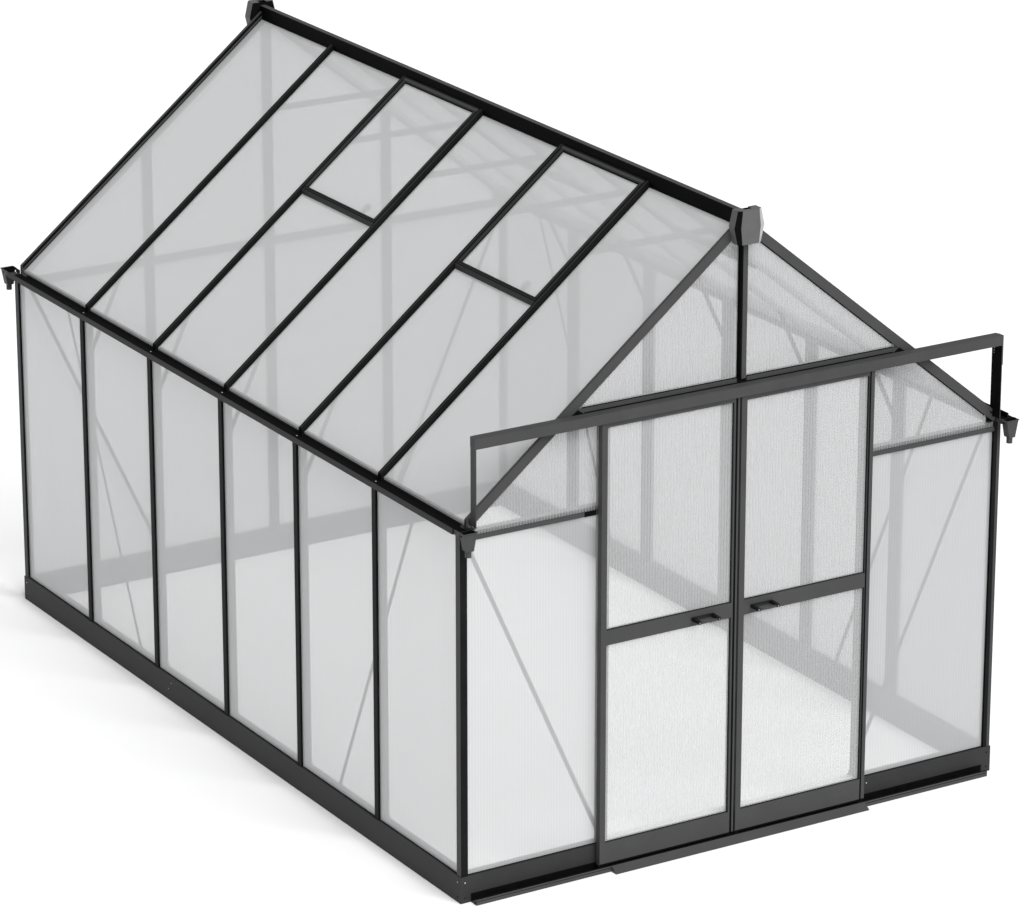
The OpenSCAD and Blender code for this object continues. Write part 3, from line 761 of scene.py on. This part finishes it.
@dataclass
class VentTrim:
    """The roof vents' seals, hinges, covers and grooves."""

    foot: float = 507  # lower edge, from the middle of the greenhouse
    bar: float = 18
    top: float = 8  # depth of the bars' top below the rafters' top plane
    sheet: float = 16  # depth of the sheet's top
    hinge_r: float = 3
    hinge_sides: int = 12
    cover_t: float = 0.6
    grooves: tuple[Span, ...] = ((-14.4, -12.6), (-9.6, -8.2), (-4.6, -2.4))  # from the lower edge
    groove_gap: float = 2

    def build(self) -> None:
        """Seals the four vents' sheets, hangs the vents on hinges and dresses their bars."""
        seals, hinges, covers, grooves = Shaper(), Shaper(), Shaper(), Shaper()
        bar_run = self.bar * math.cos(ROOF_PITCH)
        below = RIDGE_HALF + bar_run
        hinge_x = RIDGE_HALF + self.hinge_r
        hinge_z = roof_z(hinge_x, self.top - self.hinge_r / 2)
        depth = (self.top - self.cover_t, self.top)
        for side in Side:
            for bay in VENT_BAYS:
                first, last = bay_span(bay, RAFTER_W, BAR_HALF)
                sheet = (first + self.bar, last - self.bar)
                for across, run in framing(sheet, (below, self.foot - bar_run), ROOF_SEAL_W):
                    seals.slope(side, run, (self.sheet - SEAL_H, self.sheet), across)
                hinges.lathe((side.value * hinge_x, first, hinge_z), (0, 1.0, 0),
                             rod_profile(self.hinge_r, last - first), self.hinge_sides)
                covers.slope(side, (RIDGE_HALF + PLAY, below), depth, (first, last))
                for low, high in self.grooves:
                    grooves.slope(side, (self.foot + low, self.foot + high), depth,
                                  (first + self.groove_gap, last - self.groove_gap), 0)
                for y in (first, last - ROOF_SEAL_W):
                    grooves.slope(side, (below, self.foot), depth, (y, y + ROOF_SEAL_W), 0)
        seals.finish("vent_seals", Finishes.RUBBER_AND_SHADE)
        hinges.finish("vent_hinges", Finishes.FRAME, smooth=True)
        # painted light: the covers over the vents' top bars take the lighter gable coat
        covers.finish("vent_covers", Finishes.GABLE)
        grooves.finish("vent_grooves", Finishes.RUBBER_AND_SHADE)


@dataclass
class PeakTrim:
    """The rafters' black strips, the ridge caps' bevels, black on the left as painted shade and light grey on
    the right as painted highlight, and the plates that close the caps' insides.
    """

    strip_t: float = 0.8
    strip_depth: Span = (1, 12)
    strip_gap: float = 4
    out: float = 48  # how far the caps stand out of the gables
    bevel: float = 11
    mid_z: float = 2442.5
    rise: float = 65
    face: float = 43
    face_edge: float = 36.5
    body: float = 66
    edge: float = 51
    wall: float = 3.4
    plate_t: float = 0.8
    skin: Span = (0.3, 0.6)

    def rafter_strips(self) -> None:
        """Runs a black strip along the upper part of the rafters' inner faces."""
        shaper = Shaper()
        inner = GABLE_Y + RAFTER_W
        for side in Side:
            for end in End:
                shaper.slope(side, (RIDGE_HALF, EAVE_X - self.strip_gap), self.strip_depth,
                             (end.y(inner), end.y(inner + self.strip_t)), 0)
        shaper.finish("rafter_strips", Finishes.RUBBER_AND_SHADE)

    def bevels(self, shaper: Shaper, end: End, side: Side) -> None:
        """Faces the upper and lower bevel on one side of a cap.

        Args:
            shaper: the mesh that takes them.
            end: the cap's end.
            side: the bevels' side.
        """
        front, back = end.y(GABLE_Y - self.out), end.y(GABLE_Y - self.out + self.bevel)
        skin = (side.value * self.skin[0], end.value * self.skin[1], 0)
        for z in (self.mid_z - self.rise, self.mid_z + self.rise):
            tip, nose, flank, heel = [(side.value * x, y, h) for x, y, h in (
                (self.face_edge, front, z), (self.face, front, self.mid_z),
                (self.body, back, self.mid_z), (self.edge, back, z))]
            shaper.prism([tip, nose, flank], skin)
            shaper.prism([tip, flank, heel], skin)

    def build(self) -> None:
        """Builds the trim of both peaks."""
        self.rafter_strips()
        black, bright = Shaper(), Shaper()
        edge, body, rise = self.edge - self.wall, self.body - self.wall, self.rise - self.wall
        outline = ((-edge, -rise), (edge, -rise), (body, 0), (edge, rise), (-edge, rise), (-body, 0))
        for end in End:
            # painted shade on the left-hand bevels, painted highlight on the right-hand ones
            self.bevels(black, end, Side.LEFT)
            self.bevels(bright, end, Side.RIGHT)
            black.prism([(x, end.y(GABLE_Y - PLAY), self.mid_z + z) for x, z in outline],
                        (0, end.value * self.plate_t, 0))
        black.finish("cap_left_bevel_shade_and_plates", Finishes.RUBBER_AND_SHADE, Slot.PLASTIC)
        bright.finish("cap_right_bevel_highlights", Finishes.BEVEL_HIGHLIGHT, Slot.PLASTIC)


@dataclass
class GutterTrim:
    """The black skins that paint shade in the gutters' troughs, and the bolts that hold the bars' heels."""

    inner_x: float = GUTTER_X + 2.2
    outer_x: float = 1247.4
    lip_z: float = 1490.5
    skin: float = 0.6
    bolt_x: float = 1204
    bolt_r: float = 3.6
    bolt_h: float = 2.2

    def build(self) -> None:
        """Builds the trim of both gutters."""
        inside_shade, bolts = Shaper(), Shaper()
        ys = (FRONT_Y + PLAY, BACK_Y - PLAY)
        floor_z = FLANGE_Z + self.skin
        for side in Side:
            for xs, top in (((self.inner_x, self.outer_x), floor_z),
                            ((self.outer_x, self.outer_x + self.skin), self.lip_z)):
                inside_shade.box(xs, ys, (FLANGE_Z, top), sign=side.value)
            for y in GRID_YS[1:-1]:
                bolts.dome((side.value * self.bolt_x, y, floor_z), UP, self.bolt_r, self.bolt_h)
        # painted shade: black skins on each trough's floor and outer wall
        inside_shade.finish("gutter_trough_shade", Finishes.RUBBER_AND_SHADE)
        bolts.finish("gutter_bolts", Finishes.PLATED, smooth=True)


@dataclass
class OutletTrim:
    """The hoppers' rims, the black skins that paint shade inside them, and their fixing screws."""

    mid_x: float = 1216
    out: float = 55
    half_w: float = 28
    half_l: float = 17
    foot: float = 14
    rim_z: float = 1487
    foot_z: float = 1417
    wall: float = 2
    skin: float = 0.5
    rim: float = 2.5
    rim_up: float = 0.5
    screw_in: float = 6
    screw_back: float = 12
    screw_r: float = 3
    screw_h: float = 2

    def inside_shade(self, shaper: Shaper, x: float, y: float) -> None:
        """Covers one hopper's four inner walls with black skins as painted shade.

        Args:
            shaper: the mesh that takes them.
            x: the hopper's middle.
            y: the hopper's middle.
        """
        top, low, across = self.half_w - self.wall, self.foot - self.wall, self.half_l - self.wall
        high, foot = self.rim_z - PLAY, self.foot_z + self.wall
        for sign in (-1, 1):
            shaper.prism([(x + sign * top, y - across, high), (x + sign * top, y + across, high),
                          (x + sign * low, y + across, foot), (x + sign * low, y - across, foot)],
                         (-sign * self.skin, 0, 0))
            wall_y = y + sign * across
            shaper.prism([(x - top, wall_y, high), (x + top, wall_y, high),
                          (x + low, wall_y, foot), (x - low, wall_y, foot)], (0, -sign * self.skin, 0))

    def build(self) -> None:
        """Builds the trim of the four hoppers."""
        inside_shades, rims, screws = Shaper(), Shaper(), Shaper()
        zs, wide = (self.rim_z - self.rim, self.rim_z + self.rim_up), self.half_w + self.rim
        for side in Side:
            for end in End:
                x, y = side.value * self.mid_x, end.y(FRONT_Y - self.out)
                self.inside_shade(inside_shades, x, y)
                for sign in (-1, 1):
                    rims.box((x + sign * self.half_w, x + sign * wide), (y - self.half_l, y + self.half_l),
                             zs, SOFT_EDGE)
                outer = (y + end.value * self.half_l, y + end.value * (self.half_l + self.rim))
                rims.box((x - wide, x + wide), outer, zs, SOFT_EDGE)
                screws.dome((x - side.value * (self.half_w - self.screw_in),
                             y - end.value * (self.half_l + self.screw_back), FLANGE_Z + self.skin),
                            UP, self.screw_r, self.screw_h)
        # painted shade: black skins inside the hoppers
        inside_shades.finish("hopper_inside_shade", Finishes.RUBBER_AND_SHADE, Slot.PLASTIC)
        rims.finish("hopper_rims", Finishes.HOPPER, Slot.PLASTIC)
        screws.finish("hopper_screws", Finishes.PLATED, smooth=True)


@dataclass
class WallTrim:
    """The seals of the side walls and gables, the slots in the rafters' feet and the posts' covers."""

    sheet_x: float = 1208
    post_half: float = 14
    eave_z: float = 1468
    seal_w: float = 3.5
    seal_t: float = 1.8
    sheet_y: float = GABLE_Y + 8
    rafter_d: float = 37
    jamb_x: float = 603
    eave_bar_low: float = 1428
    lintel_top: float = 1848
    lintel_half: float = 695
    rafter_runs: tuple[Span, ...] = ((16, 690), (760, 1140))
    slot_x: float = 1170
    slot_z: float = 1506
    slot_half: float = 10
    slot_rise: float = 3.5
    slot_t: float = 0.6
    king_half: float = 13
    king_top: float = 2376
    king_y: float = GABLE_Y - 12.6
    groove_x: float = -6.5
    cover_t: float = 0.8
    cover_w: float = 14

    def side_seals(self) -> None:
        """Frames every side sheet with a seal."""
        shaper = Shaper()
        xs = (self.sheet_x, self.sheet_x + self.seal_t)
        for side in Side:
            for bay in range(SIDE_BAYS):
                edges = bay_span(bay, CORNER_W, self.post_half)
                for ys, zs in framing(edges, (BASE_TOP, self.eave_z), self.seal_w):
                    shaper.box(xs, ys, zs, FINE_EDGE, side.value)
        shaper.finish("side_wall_seals", Finishes.RUBBER_AND_SHADE)

    def gable_seals(self) -> None:
        """Runs seals along the front gable's sheets."""
        shaper = Shaper()
        ys = (self.sheet_y - self.seal_t, self.sheet_y)
        corner, king, width = CORNER_X - CORNER_W, self.king_half + self.seal_w, self.seal_w
        strips = [((self.jamb_x, corner), (z, z + width)) for z in (BASE_TOP, self.eave_bar_low - width)]
        strips += [((x, x + width), (BASE_TOP, self.eave_bar_low)) for x in (self.jamb_x, corner - width)]
        strips.append(((self.king_half, king), (self.lintel_top, roof_z(king, self.rafter_d + PLAY))))
        strips.append(((king, self.lintel_half), (self.lintel_top, self.lintel_top + width)))
        for side in Side:
            for xs, zs in strips:
                shaper.box(xs, ys, zs, FINE_EDGE, side.value)
            for x1, x2 in self.rafter_runs:
                corners = ((x1, self.rafter_d), (x2, self.rafter_d),
                           (x2, self.rafter_d + width), (x1, self.rafter_d + width))
                shaper.prism([(side.value * x, ys[0], roof_z(x, down)) for x, down in corners],
                             (0, self.seal_t, 0))
        shaper.finish("gable_seals", Finishes.RUBBER_AND_SHADE)

    def rafter_slots(self) -> None:
        """Marks the black slot in each rafter's foot."""
        shaper = Shaper()
        rise = Vector((0, 0, self.slot_rise))
        for side in Side:
            along = Vector((side.value * math.cos(ROOF_PITCH), 0, -math.sin(ROOF_PITCH))) * self.slot_half
            for end in End:
                mid = Vector((side.value * self.slot_x, end.y(GABLE_Y), self.slot_z))
                outline = [mid - along - rise, mid + along - rise, mid + along + rise, mid - along + rise]
                shaper.prism(outline, (0, end.value * self.slot_t, 0))
        shaper.finish("rafter_slots", Finishes.RUBBER_AND_SHADE)

    def king_covers(self) -> None:
        """Lays a black groove and a coated cover along the king post's face."""
        groove, cover = Shaper(), Shaper()
        ys, zs = (self.king_y, self.sheet_y), (self.lintel_top + PLAY, self.king_top)
        groove.box((-self.king_half, self.groove_x), ys, zs, SOFT_EDGE)
        cover.box((self.groove_x, self.king_half + PLAY), ys, zs, SOFT_EDGE)
        groove.finish("king_groove", Finishes.RUBBER_AND_SHADE)
        # painted light: the cover takes the lighter gable coat
        cover.finish("king_cover", Finishes.GABLE)

    def corner_covers(self) -> None:
        """Covers the outer faces of the corner posts."""
        shaper = Shaper()
        zs = (BASE_TOP, self.eave_z)
        for side in Side:
            for end in End:
                shaper.box((CORNER_X, CORNER_X + self.cover_t), (end.y(GABLE_Y), end.y(GABLE_Y + CORNER_W)),
                           zs, FINE_EDGE, side.value)
        for end in End:
            shaper.box((CORNER_X - self.cover_w, CORNER_X), (end.y(GABLE_Y - self.cover_t), end.y(GABLE_Y)),
                       zs, FINE_EDGE)
        # painted light: the covers take the lighter gable coat
        shaper.finish("corner_covers", Finishes.GABLE)

    def build(self) -> None:
        """Builds the trim."""
        self.side_seals()
        self.gable_seals()
        self.rafter_slots()
        self.king_covers()
        self.corner_covers()


@dataclass
class BaseTrim:
    """The base rails' rivets and splices, and a black strip on the base's front face that paints the bottom
    track's shadow.
    """

    half_w: float = 1220
    rivet_r: float = 3.2
    side_rivet_r: float = 2.56
    splice_rivet_r: float = 2.24
    head_h: float = 1.5
    high_z: float = 81
    low_z: float = 20
    inset: float = 19
    side_inset: float = 22.8
    front_rivet: Span = (620, 78)
    splice_ys: Span = (430, 550)
    splice_xs: Span = (1218, 1216)
    splice_zs: Span = (4, 101)
    splice_rivets: tuple[Span, ...] = ((478, 79), (504, 47))
    shadow_zs: Span = (2, 34)
    seal_t: float = 1.2

    def build(self) -> None:
        """Builds the trim."""
        bright, dark, plates, seal = Shaper(), Shaper(), Shaper(), Shaper()
        for side in Side:
            out_x, outward = side.value * self.half_w, (side.value, 0, 0)
            # painted shade: on the end faces the upper heads are plated on the left and black on the right
            upper = bright if side is Side.LEFT else dark
            for end in End:
                y = end.y(FRONT_Y)
                for shaper, z in ((upper, self.high_z), (dark, self.low_z)):
                    shaper.dome((side.value * (self.half_w - self.inset), y, z), (0, end.value, 0),
                                self.rivet_r, self.head_h)
                inner = y - end.value * self.side_inset
                bright.dome((out_x, inner, self.high_z), outward, self.side_rivet_r, self.head_h)
                dark.dome((out_x, inner, self.low_z), outward, self.rivet_r, self.head_h)
            for y, z in self.splice_rivets:
                bright.dome((out_x, y, z), outward, self.splice_rivet_r, self.head_h)
            plates.box(self.splice_xs, self.splice_ys, self.splice_zs, PLATE_EDGE, side.value)
            x, z = self.front_rivet
            bright.dome((side.value * x, FRONT_Y, z), (0, -1.0, 0), self.rivet_r, self.head_h)
        # painted shadow: a black strip on the base's front face behind the bottom track
        seal.box((-TRACK_HALF, TRACK_HALF), (FRONT_Y - self.seal_t, FRONT_Y), self.shadow_zs, FINE_EDGE)
        bright.finish("base_rivets", Finishes.PLATED, Slot.BASE, smooth=True)
        # black heads: the lower ones, and the right-hand upper rivets as painted shade
        dark.finish("base_dark_heads", Finishes.RUBBER_AND_SHADE, Slot.BASE, smooth=True)
        plates.finish("base_splices", Finishes.BASE, Slot.BASE)
        seal.finish("track_shadow_strip", Finishes.RUBBER_AND_SHADE, Slot.BASE)


@dataclass
class TrackTrim:
    """Black strips that paint shade on the top track's end plates, the plates' screws, the gable's small
    black marks, a painted shadow line on the lintel and a near-white plate that paints light over the
    doorway's base flange.
    """

    plate_x: float = 1174
    plate_t: float = 0.5
    plate_y: float = FRONT_Y - 43
    plate_zs: Span = (1492, 1788)
    shade_left_end: float = FRONT_Y - 7
    shade_right_end: float = FRONT_Y + 20
    screw_y: float = FRONT_Y + 6
    screw_zs: Vec = (1769, 1759, 1749)
    screw_r: float = 2.2
    screw_h: float = 0.8
    lintel_half: float = 690
    gap_shade_ys: Span = (FRONT_Y - 0.8, FRONT_Y)
    gap_shade_zs: Span = (1830, 1835)
    mark_ys: Span = (FRONT_Y - 1.2, FRONT_Y)
    mark_zs: Span = (1836, 1856)
    mark_half: float = 22
    gusset_xs: Span = (690, 745)
    gusset_zs: Span = (1829, 1848)
    gusset_t: float = 1.5
    foot_xs: Span = (-684, -634)
    foot_zs: Span = (1426, 1446)
    line_ys: Span = (-1891.3, -1891)
    line_zs: Span = (14, 16)
    groove_ys: Span = (-1889, -1882)
    groove_zs: Span = (22, 22.4)
    ramp_half: float = 583
    doorway_half: float = 600
    light_plate_ys: Span = (FRONT_Y + 2, FRONT_Y + 54)
    light_plate_zs: Span = (105, 106)
    thin: float = 0.2  # bevel of the thinnest strips

    def build(self) -> None:
        """Builds the trim."""
        plate_shades, lines, marks, sill, screws, seal = (Shaper() for _ in range(6))
        inner, (low, high) = self.plate_x - self.plate_t, self.gusset_zs
        for side, back in ((Side.LEFT, self.shade_left_end), (Side.RIGHT, self.shade_right_end)):
            # painted shade: black strips on the end plates' inner faces, longer on the right
            plate_shades.box((inner, self.plate_x), (self.plate_y, back), self.plate_zs, self.thin, side.value)
            lines.box((self.ramp_half, TRACK_HALF), self.line_ys, self.line_zs, sign=side.value)
            x1, x2 = sorted(side.value * x for x in self.gusset_xs)
            corners = ((x1, low), (x2, low), ((x1 + x2) / 2, high))
            marks.prism([(x, FRONT_Y - self.gusset_t, z) for x, z in corners], (0, self.gusset_t, 0))
            for z in self.screw_zs:
                screws.dome((side.value * inner, self.screw_y, z), (-side.value, 0, 0), self.screw_r,
                            self.screw_h)
        lines.box((-TRACK_HALF, TRACK_HALF), self.groove_ys, self.groove_zs)
        marks.box((-self.mark_half, self.mark_half), self.mark_ys, self.mark_zs, PLATE_EDGE)
        marks.box(self.foot_xs, (GABLE_Y - PLAY, GABLE_Y), self.foot_zs, FINE_EDGE)
        # painted light: a near-white plate over the base flange in the doorway
        sill.box((-self.doorway_half, self.doorway_half), self.light_plate_ys, self.light_plate_zs, SOFT_EDGE)
        # painted shadow: a black line along the lintel's front face
        seal.box((-self.lintel_half, self.lintel_half), self.gap_shade_ys, self.gap_shade_zs, self.thin)
        plate_shades.finish("end_plate_shade", Finishes.RUBBER_AND_SHADE)
        lines.finish("sill_lines", Finishes.RUBBER_AND_SHADE)
        marks.finish("gable_gussets", Finishes.RUBBER_AND_SHADE)
        sill.finish("doorway_light_plate", Finishes.DOORWAY_LIGHT, Slot.BASE)
        screws.finish("plate_screws", Finishes.PLATED, smooth=True)
        seal.finish("lintel_gap_shade", Finishes.RUBBER_AND_SHADE)


@dataclass
class DoorTrim:
    """A sliding door's pull, its sheets' seals and its brush strips."""

    body: str
    left_x: float
    pull_x: float
    groove: Span  # the stile's brush strip along X
    front: float = -1882
    rail_z: float = 946
    pull_w: float = 100
    pull_out: float = 50.5
    bar_out: float = 5
    bar_edge: float = 2
    arm: float = 13
    arm_edge: float = 2.2
    rod_r: float = 3.5
    rod_sides: int = 16
    tip_r: float = 1.8
    tip_h: float = 0.5
    door_w: float = 604
    low_z: float = 28
    high_z: float = 1808
    brush_h: float = 7
    brush_t: float = 0.5
    brush_edge: float = 0.2
    sheet_spans: tuple[Span, ...] = ((118, 917), (975, 1771))
    sheet_in: float = 9.5
    seal_w: float = 3
    seal_t: float = 1.5
    stile_w: float = 24

    def pull(self) -> None:
        """Builds the pull: a back bar with two arms, drawn black as painted shade, and a rod between them in
        the lighter coat as painted light.
        """
        body, rod, tips = Shaper(), Shaper(), Shaper()
        x, y, half = self.pull_x, self.front, self.pull_w / 2
        out, axis_z = y - self.pull_out, self.rail_z - PLAY
        zs = (self.rail_z - self.arm / 2, self.rail_z + self.arm / 2)
        body.box((x - half, x + half), (y - self.bar_out, y), zs, self.bar_edge)
        for sign in (-1, 1):
            body.box((x + sign * half, x + sign * (half - self.arm)), (out, y), zs, self.arm_edge)
            tips.dome((x + sign * (half - self.arm / 2), out, axis_z), (0, -1.0, 0), self.tip_r,
                      self.tip_h)
        rod.lathe((x - half + self.arm / 2, out + self.bar_out, axis_z), (1.0, 0, 0),
                  rod_profile(self.rod_r, self.pull_w - self.arm), self.rod_sides)
        # painted shade: the black back bar and arms
        piece = body.finish(f"{self.body}_pull", Finishes.PLASTIC, Slot.PLASTIC, self.body)
        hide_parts(f"{self.body}_handle")
        # painted light: the rod takes the lighter gable coat
        rod.finish(f"{self.body}_pull_rod", Finishes.GABLE, body=self.body, smooth=True)
        tips.finish(f"{self.body}_pull_screws", Finishes.PLATED, body=self.body, smooth=True)

    def seals(self) -> None:
        """Frames the sheets with seals and lays the brush strips in the lower rail and the stile."""
        shaper = Shaper()
        sheet = self.front + self.sheet_in
        opening = (self.left_x + self.stile_w, self.left_x + self.door_w - self.stile_w)
        for heights in self.sheet_spans:
            for xs, zs in framing(opening, heights, self.seal_w):
                shaper.box(xs, (sheet - self.seal_t, sheet), zs, FINE_EDGE)
        brush_ys = (self.front - self.brush_t, self.front)
        shaper.box((self.left_x, self.left_x + self.door_w), brush_ys,
                   (self.low_z, self.low_z + self.brush_h), self.brush_edge)
        shaper.box(self.groove, brush_ys, (self.low_z + PLAY, self.high_z - PLAY), self.brush_edge)
        shaper.finish(f"{self.body}_seals", Finishes.RUBBER_AND_SHADE, Slot.PLASTIC, self.body)

    def build(self) -> None:
        """Builds the trim."""
        self.pull()
        self.seals()


@dataclass
class Studio:
    """Camera, light, world and floor."""

    eye: Vec = (-9.3301, -15.5448, 7.3212)
    tilt: float = math.radians(90 - 19.22)
    heading: float = math.radians(-31.29)
    lens: float = 165.76
    sensor: float = 36.0
    far: float = 600.0
    floor_half: float = 200.0
    floor_z: float = -1 * MM
    air: float = 0.38
    sun_place: Vec = (0.3, -9.0, 10.0)
    sun_power: float = 3.7
    sun_spread: float = math.radians(50)

    def camera(self) -> None:
        """Sets up the camera."""
        data = bpy.data.cameras.new("view_camera")
        data.sensor_width = self.sensor
        data.sensor_fit = "HORIZONTAL"
        data.lens = self.lens
        data.clip_end = self.far
        camera = bpy.data.objects.new("view_camera", data)
        camera.location = self.eye
        camera.rotation_euler = (self.tilt, 0.0, self.heading)
        bpy.context.scene.collection.objects.link(camera)
        bpy.context.scene.camera = camera

    def floor(self) -> None:
        """Lays the floor."""
        mesh = bmesh.new()
        half = self.floor_half
        corners = ((-half, -half), (half, -half), (half, half), (-half, half))
        mesh.faces.new([mesh.verts.new((x, y, 0.0)) for x, y in corners])
        data = bpy.data.meshes.new("studio_floor")
        mesh.to_mesh(data)
        mesh.free()
        data.materials.append(Finishes.FLOOR.value.material())
        floor = bpy.data.objects.new("studio_floor", data)
        floor.location.z = self.floor_z
        bpy.context.scene.collection.objects.link(floor)

    def sun(self) -> None:
        """Hangs a wide soft light that falls evenly over the whole floor."""
        data = bpy.data.lights.new("key_light", "SUN")
        data.energy = self.sun_power
        data.angle = self.sun_spread
        lamp = bpy.data.objects.new("key_light", data)
        lamp.location = self.sun_place
        lamp.rotation_euler = (-Vector(self.sun_place)).to_track_quat("-Z", "Y").to_euler()
        bpy.context.scene.collection.objects.link(lamp)

    def world(self) -> None:
        """Fills the scene with even white light."""
        world = bpy.data.worlds.new("studio_air")
        world.use_nodes = True
        backdrop = world.node_tree.nodes["Background"]
        backdrop.inputs["Color"].default_value = (1.0, 1.0, 1.0, 1.0)
        backdrop.inputs["Strength"].default_value = self.air
        bpy.context.scene.world = world
        bpy.context.scene.view_settings.view_transform = "Standard"

    def build(self) -> None:
        """Builds the studio."""
        self.camera()
        self.floor()
        self.world()
        self.sun()


def main() -> None:
    """Builds the dressed greenhouse."""
    logging.basicConfig(level=logging.INFO, format="%(name)s: %(message)s")
    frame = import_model()
    left = DoorTrim("left_door", left_x=-631.8, pull_x=-181.8, groove=(-45, -36))
    right = DoorTrim("right_door", left_x=-18.2, pull_x=84.8, groove=(563, 570))
    for assembly in (Studio(), Dressing(frame), RoofTrim(), VentTrim(), PeakTrim(), GutterTrim(),
                     OutletTrim(), WallTrim(), BaseTrim(), TrackTrim(), left, right):
        LOG.info("building %s", type(assembly).__name__)
        assembly.build()


if __name__ == "__main__":
    main()
